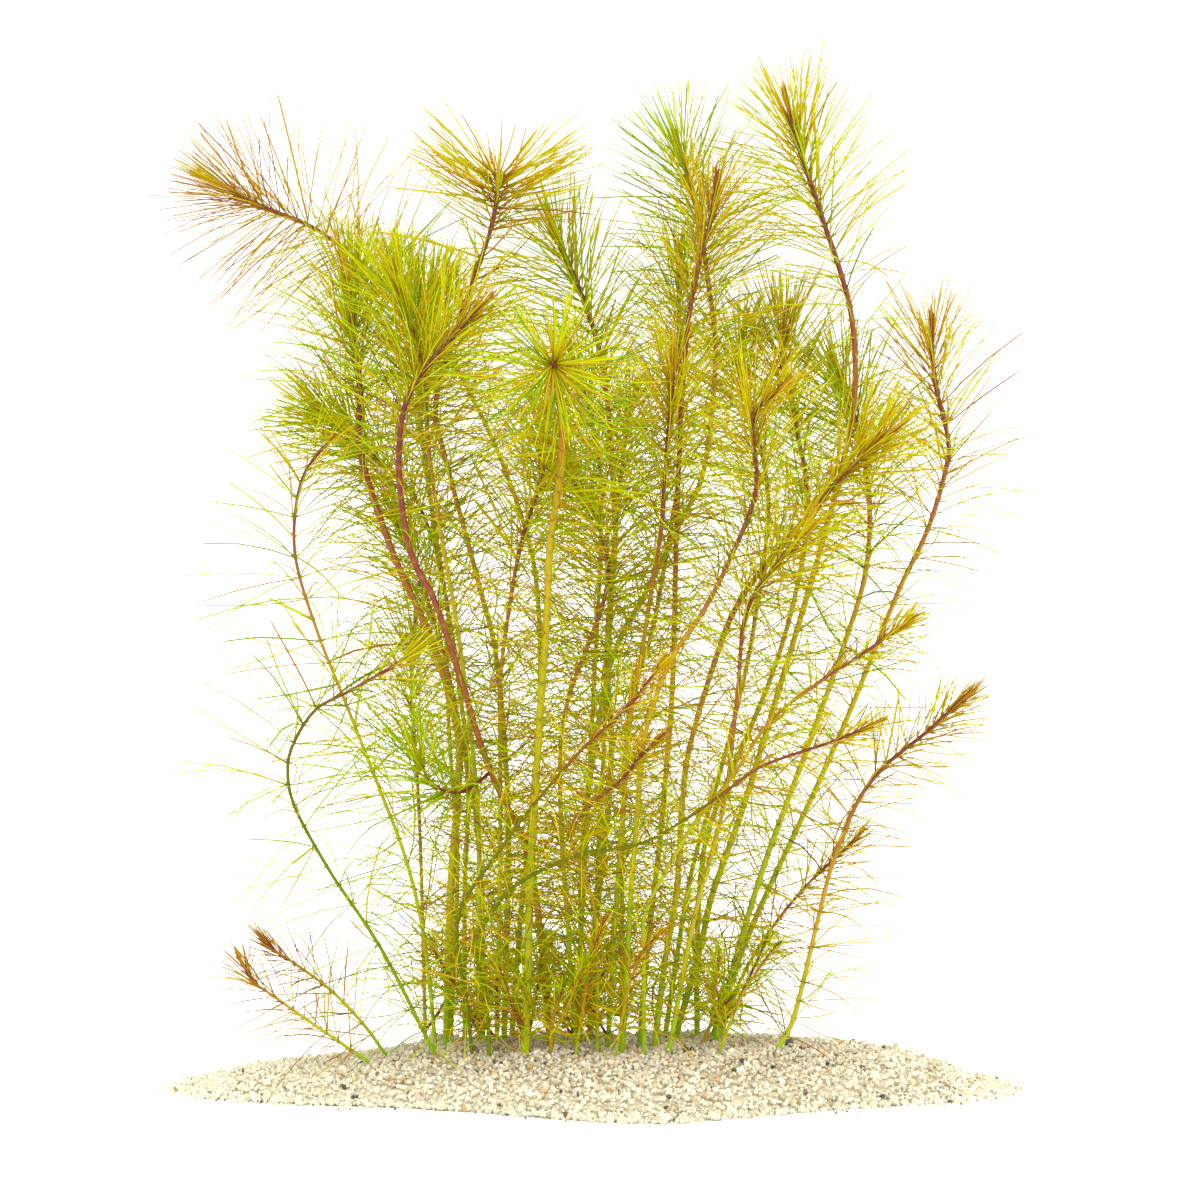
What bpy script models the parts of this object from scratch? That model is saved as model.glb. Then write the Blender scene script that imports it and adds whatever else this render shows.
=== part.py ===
"""A clump of vietnam rotala rooted in a loose mound of aquarium gravel.

Blender 4.5 script. Each stem is one closed solid: a slender tube along its own curve,
with its whorls of needle leaves fused to it. Every stem stands in a socket in the gravel.
Lengths below are millimetres, X to the right, Y to the back and Z up from the ground.
"""

import math
import random
from collections import namedtuple

import bmesh
import bpy
import numpy as np
from mathutils import Matrix, Vector

MM = 0.001
GAP = 0.32

# Gravel bed: how far it reaches from its long axis to the front and the back, with a
# round bulge under the stems, and the height of its crest at places from left to right.
BED_HALF_LENGTH = 115.0
FRONT_DEPTH = 36.0
BACK_DEPTH = 38.0
DEEPER_TO_RIGHT = 4.0
BULGE_MIDDLE = 12.0
BULGE_WIDTH = 42.0
FRONT_BULGE = 30.0
BACK_BULGE = 16.0
BED_CREST = (
    (-115, 1.2), (-100, 5.0), (-84, 7.2), (-66, 8.2), (-42, 12.8), (-10, 13.6), (45, 13.6),
    (66, 12.8), (88, 10.0), (105, 5.4), (115, 1.2))
BED_RIM = 1.2
BED_ROUNDING = 2.4
END_ROUNDING = 4
BED_SPOKES = 30
BED_RINGS = 4
RING_SPREAD = 0.72
EDGE_WOBBLE = 0.033
EDGE_SEED = 7
LUMP_HEIGHT = 0.5
BROAD_LUMP = 8.5
NARROW_LUMP = 4.8
LUMP_FADE = 4
SOCKET_DEPTH = 7.0
SOCKET_TOP = 5.0
SOCKET_POINT = 0.5

# Stems and leaves.
PATH_STEP = 1.5
SIDES = 4
WHORL_BAND = 1.5
TIP_GIRTH_SHARE = 0.62
FIRST_WHORL = 2.2
WHORL_STEP = 8.0
WHORL_GROWTH = 1.42
WIDEST_STEP = 37.0
CROWN_DEPTH = 44.0
FULL_VIGOUR = 0.7
BOW = 1.2
BARE_FOOT = 13.0

# How long the leaves are, and how far they open from the stem, at these distances
# below the stem's tip.
BELOW_TIP = (0.0, 4.0, 12.0, 30.0, 70.0, 120.0, 200.0)
LEAF_LENGTH = (9.5, 14.0, 20.0, 24.0, 21.0, 18.0, 13.0)
LEAF_OPENING = (14.0, 27.0, 44.0, 60.0, 74.0, 83.0, 90.0)
OPENING_TURNS = (0.0, 14.0, -14.0, 26.0)
SIDE_TURNS = (0.0, 11.0, -11.0, 20.0, -20.0)
PAIR_TURNS = (0.0, 9.0, -9.0)
SHORTER = (1.0, 0.8, 0.62, 0.45)
LEAST_LEAF = 5.0
OWN_REACH = 2.5
ABOVE_BED = 2.0
SEARCH_MARGIN = 3.0
PARALLEL = 1e-9
TIP_POINT = 1.0

# A band's side carries one leaf over the whole of it, or a pair over its two halves.
WHOLE, LOWER, UPPER = range(3)
HALF_SHARES = (0.5, 0.75, 0.25)

# Colours from base to tip families: green, golden olive and red brown.
GREEN = (0.30, 0.36, 0.03)
GOLD = (0.42, 0.33, 0.04)
RUST = (0.33, 0.14, 0.05)
GRAVEL = (0.62, 0.56, 0.45)
PLANT_ROUGHNESS = 0.55
GRAVEL_ROUGHNESS = 0.9

# girth is the stem's diameter at its foot; foot is where it leaves the gravel (x, y);
# course holds the points it passes on its way to its tip; vigour scales the leaves.
Stem = namedtuple("Stem", "name girth foot course colour vigour", defaults=(1.0,))

STEMS = (
    # The far left stem that leans out of the top of the clump.
    Stem("stem_01", 1.9, (-22, 19), (
        (-19, 20, 51), (-16, 21, 79), (-14, 22, 110), (-15, 23, 140), (-20, 24, 161),
        (-31, 25, 188), (-46, 25, 212), (-73, 23, 237), (-92, 22, 246), (-108, 20, 255)),
        GOLD, 1.1),
    # The thick stem on the left that rises to the left shoulder.
    Stem("stem_02", 2.5, (-40, -2), (
        (-39, -4, 54), (-37, -6, 82), (-37, -8, 102), (-44, -8, 127), (-55, -6, 152),
        (-64, -4, 180), (-64, 0, 196), (-66, 4, 216), (-65, 8, 235)), GREEN),
    Stem("stem_03", 1.7, (-35, 5), (
        (-35, 6, 54), (-34, 6, 82), (-36, 7, 99), (-42, 8, 126), (-51, 11, 152),
        (-58, 15, 166)), GOLD),
    # The red stem with the long S bend and a green fan of leaves on a short twig.
    Stem("stem_04", 2.3, (-11, -6), (
        (-14, -8, 47), (-18, -12, 70), (-28, -19, 93), (-36, -25, 119), (-43, -30, 141),
        (-50, -32, 156), (-53, -35, 181), (-50, -37, 200), (-39, -40, 215),
        (-25, -44, 230)), RUST),
    Stem("stem_05", 1.8, (-30, 15), (
        (-30, 18, 36), (-31, 20, 63), (-34, 24, 90), (-38, 28, 120), (-42, 32, 145),
        (-45, 35, 164), (-48, 38, 189), (-47, 39, 203), (-44, 42, 224)), GREEN),
    Stem("stem_06", 1.6, (-39, 14), (
        (-38, 15, 37), (-37, 16, 65), (-39, 17, 92), (-40, 18, 115), (-40, 19, 134),
        (-46, 20, 158), (-54, 20, 170), (-68, 19, 183), (-80, 18, 192)), GOLD),
    # The tall stem under the widest brown crown.
    Stem("stem_07", 2.1, (-24, 4), (
        (-23, 4, 54), (-23, 4, 82), (-26, 4, 120), (-31, 3, 142), (-41, 2, 180),
        (-43, 2, 191), (-41, 2, 202), (-34, 2, 223), (-27, 3, 244), (-25, 4, 262)),
        RUST, 1.12),
    Stem("stem_08", 2.2, (0, 2), (
        (1, 2, 40), (5, 3, 78), (6, 4, 98), (5, 5, 115), (6, 6, 139), (7, 8, 159),
        (4, 11, 199), (-2, 13, 221), (-9, 14, 237), (-12, 15, 247)), GREEN),
    Stem("stem_09", 1.7, (2, 25), (
        (2, 26, 56), (4, 29, 95), (5, 33, 128), (7, 38, 152), (9, 43, 170),
        (11, 47, 185), (15, 50, 196)), GOLD),
    # The olive stem whose tip opens like a star towards the front.
    Stem("stem_10", 2.5, (-18, -18), (
        (-17, -20, 50), (-16, -23, 73), (-14, -27, 107), (-12, -32, 137),
        (-11, -37, 158), (-8, -43, 180), (-8, -47, 194), (-9, -53, 205), (-10, -61, 210),
        (-10, -69, 212)), GREEN),
    Stem("stem_11", 1.7, (-26, -7), (
        (-25, -9, 69), (-25, -11, 97), (-25, -14, 116), (-23, -17, 134),
        (-19, -21, 157), (-13, -25, 177), (-12, -30, 199)), GOLD),
    Stem("stem_12", 1.8, (-4, -12), (
        (-6, -12, 46), (-8, -12, 75), (-8, -12, 100), (-5, -13, 115), (0, -14, 128),
        (4, -14, 140), (5, -14, 151), (1, -13, 164), (-4, -12, 172), (-11, -10, 184)),
        GOLD),
    Stem("stem_13", 1.7, (-4, 14), (
        (-2, 16, 50), (0, 18, 90), (2, 20, 128), (3, 23, 150), (3, 27, 170),
        (-1, 33, 190), (-7, 40, 207)), GREEN),
    Stem("stem_14", 2.1, (-3, -5), (
        (-2, -5, 66), (0, -5, 88), (6, -4, 121), (16, -2, 141), (25, 0, 159),
        (32, 3, 175), (35, 7, 204), (34, 9, 218), (30, 13, 244), (23, 16, 269)), GREEN),
    Stem("stem_15", 2.1, (14, -3), (
        (16, -4, 40), (19, -6, 66), (21, -8, 88), (23, -10, 115), (24, -12, 154),
        (25, -12, 184), (27, -10, 214), (30, -9, 231), (34, -8, 247), (35, -8, 260)),
        GOLD),
    Stem("stem_16", 1.8, (9, 15), (
        (9, 16, 63), (10, 17, 91), (12, 18, 112), (17, 19, 125), (22, 21, 152),
        (25, 23, 174), (25, 26, 205), (25, 29, 229), (29, 30, 236)), GREEN),
    Stem("stem_17", 1.8, (5, -10), (
        (7, -12, 50), (9, -15, 78), (11, -18, 104), (14, -20, 123), (18, -23, 149),
        (20, -24, 162), (21, -25, 178), (23, -28, 205), (22, -30, 214)), GOLD),
    # The tallest stem, right of the middle.
    Stem("stem_18", 2.3, (24, 12), (
        (31, 11, 39), (34, 10, 53), (43, 9, 79), (52, 8, 109), (64, 7, 150),
        (72, 7, 182), (74, 7, 200), (72, 8, 221), (63, 10, 249), (56, 11, 271),
        (55, 12, 281)), RUST, 1.1),
    Stem("stem_19", 2.0, (9, -16), (
        (11, -21, 51), (13, -26, 79), (15, -29, 102), (22, -32, 124), (31, -34, 138),
        (39, -36, 154), (46, -38, 173), (45, -40, 192), (48, -41, 198),
        (57, -42, 203)), GOLD),
    Stem("stem_20", 1.8, (21, 20), (
        (28, 24, 56), (36, 28, 84), (43, 32, 111), (47, 36, 133), (50, 40, 158),
        (48, 42, 175), (42, 45, 198), (45, 48, 214)), GOLD),
    Stem("stem_21", 2.0, (30, 18), (
        (30, 18, 38), (32, 17, 66), (39, 17, 86), (50, 19, 112), (57, 21, 135),
        (61, 23, 160), (58, 25, 182), (54, 27, 204), (56, 28, 221)), GOLD),
    # The red stem that leans far to the right above the middle.
    Stem("stem_22", 2.2, (18, -11), (
        (21, -10, 38), (24, -11, 56), (26, -12, 85), (28, -13, 99), (35, -14, 123),
        (42, -16, 140), (55, -18, 157), (73, -20, 178), (88, -22, 190)), RUST),
    Stem("stem_23", 1.8, (22, -18), (
        (29, -20, 51), (34, -23, 70), (38, -26, 88), (41, -32, 116), (43, -36, 137),
        (49, -39, 149), (64, -42, 166)), GOLD),
    Stem("stem_24", 2.2, (35, -1), (
        (41, 0, 38), (48, 2, 61), (53, 3, 75), (62, 6, 99), (71, 10, 124),
        (77, 14, 144), (78, 18, 164), (75, 22, 183), (69, 25, 199), (69, 26, 207)),
        GREEN),
    # The stem at the far right with the long bow.
    Stem("stem_25", 2.1, (34, 9), (
        (42, 11, 36), (50, 12, 55), (64, 13, 85), (74, 14, 108), (86, 15, 138),
        (94, 15, 155), (99, 16, 171), (100, 16, 181), (96, 16, 199), (95, 16, 220)),
        GREEN),
    # The low red shoot that reaches out on the right.
    Stem("stem_26", 1.9, (52, -15), (
        (57, -15, 23), (64, -15, 52), (68, -15, 67), (75, -16, 84), (83, -16, 94),
        (94, -16, 103), (108, -17, 116)), RUST),
    Stem("stem_27", 1.3, (36, 4), (
        (42, 5, 30), (50, 3, 44), (60, 0, 57), (70, -3, 67), (78, -5, 75)), RUST, 0.75),
    # The stem that crosses the whole front of the clump.
    Stem("stem_28", 2.0, (-28, -17), (
        (-29, -21, 29), (-32, -27, 43), (-30, -31, 50), (-21, -36, 62), (-5, -42, 71),
        (16, -45, 76), (35, -46, 88), (48, -45, 97), (69, -42, 104), (83, -40, 110)),
        RUST, 0.9),
    Stem("stem_29", 1.9, (15, -20), (
        (15, -24, 43), (16, -28, 55), (28, -34, 78), (39, -36, 92), (50, -34, 108),
        (64, -32, 119), (78, -30, 128), (93, -28, 139)), RUST, 0.95),
    # The two bowed stems on the left.
    Stem("stem_30", 2.0, (-43, -8), (
        (-46, -8, 42), (-51, -9, 65), (-59, -11, 87), (-69, -13, 113), (-76, -14, 131),
        (-82, -14, 152), (-81, -14, 170), (-76, -13, 180), (-68, -12, 187)), GREEN),
    Stem("stem_31", 1.4, (-46, 8), (
        (-47, 13, 53), (-48, 17, 80), (-50, 22, 112), (-48, 26, 136)), GOLD, 0.85),
    Stem("stem_32", 1.9, (-43, -15), (
        (-58, -19, 42), (-72, -23, 64), (-82, -27, 83), (-84, -28, 94),
        (-82, -29, 102), (-76, -30, 111), (-67, -31, 116), (-53, -31, 124),
        (-46, -31, 128)), RUST),
    # The two low sprigs at the left edge of the gravel.
    Stem("stem_33", 1.5, (-61, -11), (
        (-72, -15, 17), (-88, -20, 29), (-94, -22, 34), (-99, -24, 44)), GREEN, 0.62),
    Stem("stem_34", 1.5, (-57, -3), (
        (-63, -6, 19), (-72, -9, 29), (-82, -12, 37), (-89, -13, 42), (-93, -13, 49)),
        GREEN, 0.62),
    # The pink-tipped stem that leans across the front to the right.
    Stem("stem_35", 1.9, (-33, -14), (
        (-34, -18, 24), (-36, -24, 37), (-37, -30, 48), (-35, -36, 58), (-26, -45, 72),
        (-17, -50, 85), (-3, -55, 102), (12, -59, 117), (23, -61, 132)), RUST),
    Stem("stem_36", 1.9, (2, -17), (
        (2, -20, 46), (0, -23, 59), (-5, -29, 73), (-4, -33, 81), (1, -37, 86),
        (9, -42, 93), (15, -47, 101), (23, -52, 108)), RUST, 0.9),
    Stem("stem_37", 1.8, (-31, -4), (
        (-31, -8, 50), (-31, -10, 75), (-32, -11, 90), (-35, -15, 118), (-38, -17, 139),
        (-42, -18, 162), (-45, -18, 184), (-46, -17, 201), (-50, -17, 218),
        (-55, -16, 234)), GREEN),
    # Short new shoots close above the gravel.
    Stem("shoot_01", 1.4, (7, -24), (
        (9, -27, 24), (12, -31, 37), (17, -33, 46), (25, -34, 53)), GOLD, 0.6),
    Stem("shoot_02", 1.4, (-4, -21), (
        (-1, -25, 32), (2, -29, 46), (6, -31, 57)), RUST, 0.6),
    Stem("shoot_03", 1.3, (-11, -20), ((-10, -23, 24), (-7, -26, 34)), GREEN, 0.6),
    Stem("shoot_04", 1.3, (31, -9), ((35, -11, 22), (41, -14, 30)), GREEN, 0.6),
    Stem("shoot_05", 1.3, (36, -17), (
        (41, -18, 26), (46, -18, 35), (53, -17, 44)), GREEN, 0.6),
)

# The one strong twig, which hangs out of the red stem and ends in a green fan.
TWIG_OWNER = "stem_04"
TWIG_GIRTH = 1.7
TWIG_COURSE = ((-27.5, -18.6, 92), (-35, -23, 87), (-43, -27, 89), (-48, -31, 97))
TWIG_VIGOUR = 0.9
TWIG_BARE_FOOT = 6.0

Ring = namedtuple("Ring", "place centre right up along radius")
Station = namedtuple("Station", "place turn leafy")
Leaf = namedtuple("Leaf", "tube_index ring_index side half below_tip")
Tube = namedtuple("Tube", "stem course rings bands")


def bed_depth(x, y):
    """How deep the gravel is at x, in front of its long axis or behind it."""
    bulge = math.exp(-((x - BULGE_MIDDLE) / BULGE_WIDTH) ** 2)
    if y < 0:
        return FRONT_DEPTH + DEEPER_TO_RIGHT * x / BED_HALF_LENGTH + FRONT_BULGE * bulge
    return BACK_DEPTH + BACK_BULGE * bulge


def end_closing(share):
    """How far the outline closes in at a share of the half length, from one to nought."""
    return math.sqrt(max(1.0 - abs(share) ** END_ROUNDING, 0.0))


def bed_height(x, y):
    """Height of the smooth gravel mound over a place on the ground."""
    depth = bed_depth(x, y) * end_closing(x / BED_HALF_LENGTH)
    if abs(y) >= depth:
        return BED_RIM
    crest = float(np.interp(x, *zip(*BED_CREST)))
    return BED_RIM + (crest - BED_RIM) * (1.0 - (abs(y) / depth) ** BED_ROUNDING)


def lump(x, y):
    """A low uneven swell over the mound, like gravel that was poured."""
    broad = math.sin(x / BROAD_LUMP) * math.cos(y / BROAD_LUMP)
    return LUMP_HEIGHT * (broad + math.sin((x - y) / NARROW_LUMP))


def smooth_path(points):
    """Closely spaced points along a Catmull-Rom curve through the given points."""
    knots = [2 * points[0] - points[1], *points, 2 * points[-1] - points[-2]]
    path = [points[0]]
    for before, start, end, after in zip(knots, knots[1:], knots[2:], knots[3:]):
        pieces = max(2, round((end - start).length / PATH_STEP))
        for piece in range(1, pieces + 1):
            t = piece / pieces
            path.append(0.5 * (2 * start + (end - before) * t
                               + (2 * before - 5 * start + 4 * end - after) * t ** 2
                               + (3 * start - before - 3 * end + after) * t ** 3))
    return path


class Course:
    """A smooth course with distances along it and frames that don't twist."""

    def __init__(self, points):
        self.path = smooth_path([Vector(point) for point in points])
        self.distances = [0.0]
        for start, end in zip(self.path, self.path[1:]):
            self.distances.append(self.distances[-1] + (end - start).length)
        self.length = self.distances[-1]

    def at(self, distance):
        """The point at a distance, and the direction there; straight beyond the ends."""
        last = len(self.path) - 1
        index = int(np.searchsorted(self.distances, distance)) - 1
        index = min(max(index, 0), last - 1)
        start, end = self.path[index], self.path[index + 1]
        along = (end - start).normalized()
        return start + along * (distance - self.distances[index]), along


def course_of(stem):
    """The course of a stem from its foot on the gravel to its tip."""
    x, y = stem.foot
    foot = (x, y, bed_height(x, y) + lump(x, y))
    return Course((foot, *stem.course))


def whorl_distances(length, bare_foot):
    """Distances along a stem of its whorls, close near the tip and wide lower down."""
    places = []
    below_tip, step = FIRST_WHORL, WHORL_STEP
    while length - below_tip > bare_foot:
        places.append(length - below_tip)
        below_tip += step
        step = min(step * WHORL_GROWTH, WIDEST_STEP)
    return places[::-1]


def bends_between(course, low, high):
    """Distances between two others where a tube needs a ring to follow its curve."""
    middle = (low + high) / 2
    chord = (course.at(low)[0] + course.at(high)[0]) / 2
    if (course.at(middle)[0] - chord).length < BOW:
        return []
    return [*bends_between(course, low, middle), middle, *bends_between(course, middle, high)]


def stations_along(course, start, bare_foot):
    """The stations of a tube's rings, two for each whorl and more where it bends."""
    stations = [Station(start, 0, False)]
    for number, place in enumerate(whorl_distances(course.length, bare_foot)):
        low = place - WHORL_BAND / 2
        before = stations[-1]
        bends = bends_between(course, max(before.place, SOCKET_TOP), low)
        if bends and number == 0 and start < 0:
            bends.insert(0, SOCKET_TOP)
        stations += [Station(bend, before.turn, False) for bend in bends]
        stations.append(Station(low, number % 2, True))
        stations.append(Station(low + WHORL_BAND, number % 2, False))
    return stations


def make_tube(stem, course, start, bare_foot):
    """The rings of a tube from start to its tip, and the bands that carry leaves."""
    rings, bands = [], []
    right = None
    for index, station in enumerate(stations_along(course, start, bare_foot)):
        centre, along = course.at(station.place)
        if right is None:
            right = along.orthogonal().normalized()
        right = (right - along * right.dot(along)).normalized()
        share = min(max(station.place / course.length, 0.0), 1.0)
        radius = stem.girth / 2 * (1.0 - (1.0 - TIP_GIRTH_SHARE) * share)
        turned = Matrix.Rotation(math.pi / SIDES * station.turn, 3, along) @ right
        rings.append(Ring(station.place, centre, turned, along.cross(turned), along, radius))
        if station.leafy:
            bands.append(index)
    return Tube(stem, course, rings, bands)


def corner(ring, side):
    """One corner of a ring."""
    angle = 2 * math.pi * side / SIDES
    return ring.centre + ring.radius * (math.cos(angle) * ring.right
                                        + math.sin(angle) * ring.up)


def segment_distances(start, end, starts, ends):
    """Nearest distances from one segment to many, with the places along each."""
    a, b = end - start, ends - starts
    offset = start - starts
    aa, bb = a @ a, np.einsum("ij,ij->i", b, b)
    ab, ao, bo = b @ a, offset @ a, np.einsum("ij,ij->i", b, offset)
    denominator = aa * bb - ab * ab
    skew = denominator > PARALLEL
    safe = np.where(skew, denominator, 1.0)
    s = np.where(skew, np.clip((ab * bo - bb * ao) / safe, 0, 1), 0.0)
    t = np.clip((ab * s + bo) / bb, 0, 1)
    s = np.clip((ab * t - ao) / aa, 0, 1)
    nearest = (start + s[:, None] * a) - (starts + t[:, None] * b)
    return np.linalg.norm(nearest, axis=1), s, t


class Clearance:
    """Keeps every leaf clear of the stems and leaves that are already there."""

    def __init__(self, most_rods):
        self.starts = np.zeros((most_rods, 3))
        self.ends = np.zeros((most_rods, 3))
        self.facts = np.zeros((most_rods, 5))
        self.count = 0

    def add(self, start, end, owner, place, place_end, base_radius, end_radius):
        """Adds a tapered rod that covers a stretch of its own stem."""
        self.starts[self.count] = start
        self.ends[self.count] = end
        self.facts[self.count] = owner, place, place_end, base_radius, end_radius
        self.count += 1

    def is_free(self, start, end, owner, place, radius):
        """Whether a leaf from start to end keeps the gap to all that it must clear."""
        starts, ends = self.starts[:self.count], self.ends[:self.count]
        owners, places, place_ends, base_radii, end_radii = self.facts[:self.count].T
        beside = (places - OWN_REACH < place) & (place < place_ends + OWN_REACH)
        middle = (np.array(start) + np.array(end)) / 2
        half = (end - start).length / 2
        spans = np.linalg.norm(ends - starts, axis=1) / 2
        apart = np.linalg.norm((starts + ends) / 2 - middle, axis=1)
        near = apart < half + spans + SEARCH_MARGIN
        chosen = near & ((owners != owner) | ~beside)
        if not chosen.any():
            return True
        gaps, s, t = segment_distances(np.array(start), np.array(end),
                                       starts[chosen], ends[chosen])
        thickness = base_radii[chosen] * (1 - t) + end_radii[chosen] * t
        return bool((gaps - thickness - radius * (1 - s) > GAP).all())


def leaf_end(tube, leaf, side_turn, opening_turn, shorter):
    """The start and the tip of a leaf that opens from its stem."""
    lower, upper = tube.rings[leaf.ring_index], tube.rings[leaf.ring_index + 1]
    angle = 2 * math.pi * (leaf.side + HALF_SHARES[leaf.half]) / SIDES
    angle += math.radians(side_turn)
    outward = math.cos(angle) * lower.right + math.sin(angle) * lower.up
    opening = math.radians(np.interp(leaf.below_tip, BELOW_TIP, LEAF_OPENING) + opening_turn)
    heading = math.cos(opening) * lower.along + math.sin(opening) * outward
    length = float(np.interp(leaf.below_tip, BELOW_TIP, LEAF_LENGTH))
    quad = [corner(ring, side) for ring in (lower, upper) for side in (leaf.side, leaf.side + 1)]
    start = sum(quad, Vector()) / 4
    return start, start + heading * length * tube.stem.vigour * shorter


def leaf_tries(leaf):
    """The turns and lengths that a leaf tries in order until it is clear."""
    paired = leaf.half != WHOLE
    side_turns = PAIR_TURNS if paired else SIDE_TURNS
    opening_turns = OPENING_TURNS[:1] if paired else OPENING_TURNS
    return [(side_turn, opening_turn, shorter) for shorter in SHORTER
            for opening_turn in opening_turns for side_turn in side_turns]


def clear_leaf(tube, leaf, clearance, base_radius):
    """The first try of a leaf that keeps clear of everything, or None."""
    place = tube.rings[leaf.ring_index].place
    for side_turn, opening_turn, shorter in leaf_tries(leaf):
        start, end = leaf_end(tube, leaf, side_turn, opening_turn, shorter)
        if (end - start).length < LEAST_LEAF * tube.stem.vigour:
            continue
        if end.z < bed_height(end.x, end.y) + ABOVE_BED:
            continue
        if clearance.is_free(start, end, leaf.tube_index, place, base_radius):
            return start, end
    return None


def place_leaves(tubes):
    """Tips of all leaves, by tube, ring, side and half, each clear of its neighbours."""
    most_rods = sum(len(tube.rings) * (2 * SIDES + 1) for tube in tubes)
    clearance = Clearance(most_rods)
    leaves = []
    for index, tube in enumerate(tubes):
        for low, high in zip(tube.rings, tube.rings[1:]):
            clearance.add(low.centre, high.centre, index, low.place, high.place,
                          low.radius, high.radius)
        for band in tube.bands:
            below_tip = tube.course.length - tube.rings[band].place
            in_crown = below_tip < CROWN_DEPTH and tube.stem.vigour > FULL_VIGOUR
            halves = (LOWER, UPPER) if in_crown else (WHOLE,)
            leaves += [Leaf(index, band, side, half, below_tip)
                       for side in range(SIDES) for half in halves]
    leaves.sort(key=lambda leaf: leaf.below_tip)
    tips = {}
    for leaf in leaves:
        tube = tubes[leaf.tube_index]
        ring = tube.rings[leaf.ring_index]
        base_radius = math.hypot(WHORL_BAND / 2, ring.radius * math.sin(math.pi / SIDES))
        found = clear_leaf(tube, leaf, clearance, base_radius)
        if found:
            start, end = found
            clearance.add(start, end, leaf.tube_index, ring.place, ring.place,
                          base_radius, 0.0)
            tips[leaf.tube_index, leaf.ring_index, leaf.side, leaf.half] = end
    return tips


def add_face(mesh, outline, tip):
    """Adds a flat face, or a spike over it where it carries a leaf with this tip."""
    if tip is None:
        mesh.faces.new(outline)
        return
    point = mesh.verts.new(tip * MM)
    for start, end in zip(outline, outline[1:] + outline[:1]):
        mesh.faces.new((start, end, point))


def add_tube(mesh, rings, tip, leaf_tips):
    """Adds a closed tube with a pointed tip, and a spike for each leaf on its bands."""
    loops = [[mesh.verts.new(corner(ring, side) * MM) for side in range(SIDES)]
             for ring in rings]
    mesh.faces.new(loops[0][::-1])
    for index, (low, high) in enumerate(zip(loops, loops[1:])):
        for side in range(SIDES):
            after = (side + 1) % SIDES
            whole = leaf_tips.get((index, side, WHOLE))
            lower = leaf_tips.get((index, side, LOWER))
            upper = leaf_tips.get((index, side, UPPER))
            if lower is None and upper is None:
                add_face(mesh, (low[side], low[after], high[after], high[side]), whole)
            else:
                add_face(mesh, (low[side], low[after], high[after]), lower)
                add_face(mesh, (low[side], high[after], high[side]), upper)
    top = mesh.verts.new(tip * MM)
    for side in range(SIDES):
        mesh.faces.new((loops[-1][side], loops[-1][(side + 1) % SIDES], top))


def finish_material(name, colour, roughness):
    """A Principled material in one colour."""
    material = bpy.data.materials.new(name)
    material.use_nodes = True
    shader = material.node_tree.nodes["Principled BSDF"]
    shader.inputs["Base Color"].default_value = (*colour, 1.0)
    shader.inputs["Roughness"].default_value = roughness
    shader.inputs["Metallic"].default_value = 0.0
    material.diffuse_color = (*colour, 1.0)
    return material


def add_object(name, mesh, colour, roughness):
    """Makes a named object from a bmesh, with its own material."""
    data = bpy.data.meshes.new(name)
    bmesh.ops.recalc_face_normals(mesh, faces=mesh.faces)
    mesh.to_mesh(data)
    mesh.free()
    data.materials.append(finish_material(name, colour, roughness))
    piece = bpy.data.objects.new(name, data)
    bpy.context.scene.collection.objects.link(piece)
    return piece


def add_cutter(name, mesh, target, operation="DIFFERENCE"):
    """Cuts or joins a helper mesh into a target with a Boolean modifier."""
    helper = add_object(name, mesh, GRAVEL, GRAVEL_ROUGHNESS)
    helper.hide_render = True
    helper.display_type = "WIRE"
    modifier = target.modifiers.new(name, "BOOLEAN")
    modifier.operation = operation
    modifier.solver = "EXACT"
    modifier.object = helper
    return helper


def make_bed():
    """The mound of gravel: a low lumpy dome with a flat underside."""
    mesh = bmesh.new()
    wobble = random.Random(EDGE_SEED)
    edge = [1.0 + wobble.uniform(-EDGE_WOBBLE, EDGE_WOBBLE) for _ in range(BED_SPOKES)]
    rows = []
    for ring in range(1, BED_RINGS + 1):
        reach = (ring / BED_RINGS) ** RING_SPREAD
        row = []
        for spoke in range(BED_SPOKES):
            angle = 2 * math.pi * (spoke + 0.5 * (ring % 2)) / BED_SPOKES
            x = BED_HALF_LENGTH * reach * math.cos(angle)
            side = math.copysign(end_closing(math.cos(angle)), math.sin(angle))
            y = bed_depth(x, side) * reach * side
            fade = 1.0 - reach ** LUMP_FADE
            z = bed_height(x, y) + fade * lump(x, y)
            row.append(mesh.verts.new(Vector((x * edge[spoke], y * edge[spoke], z)) * MM))
        rows.append(row)
    peak = mesh.verts.new(Vector((0.0, 0.0, bed_height(0, 0) + lump(0, 0))) * MM)
    floor = [mesh.verts.new(Vector((v.co.x, v.co.y, 0.0))) for v in rows[-1]]
    for spoke in range(BED_SPOKES):
        after = (spoke + 1) % BED_SPOKES
        mesh.faces.new((peak, rows[0][spoke], rows[0][after]))
        mesh.faces.new((rows[-1][spoke], floor[spoke], floor[after], rows[-1][after]))
    for inner, outer, shifted in zip(rows, rows[1:], range(1, BED_RINGS)):
        for spoke in range(BED_SPOKES):
            after = (spoke + 1) % BED_SPOKES
            if shifted % 2:
                mesh.faces.new((inner[spoke], outer[spoke], outer[after]))
                mesh.faces.new((inner[spoke], outer[after], inner[after]))
            else:
                mesh.faces.new((inner[spoke], outer[spoke], inner[after]))
                mesh.faces.new((inner[after], outer[spoke], outer[after]))
    mesh.faces.new(floor[::-1])
    return add_object("gravel_bed", mesh, GRAVEL, GRAVEL_ROUGHNESS)


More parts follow.
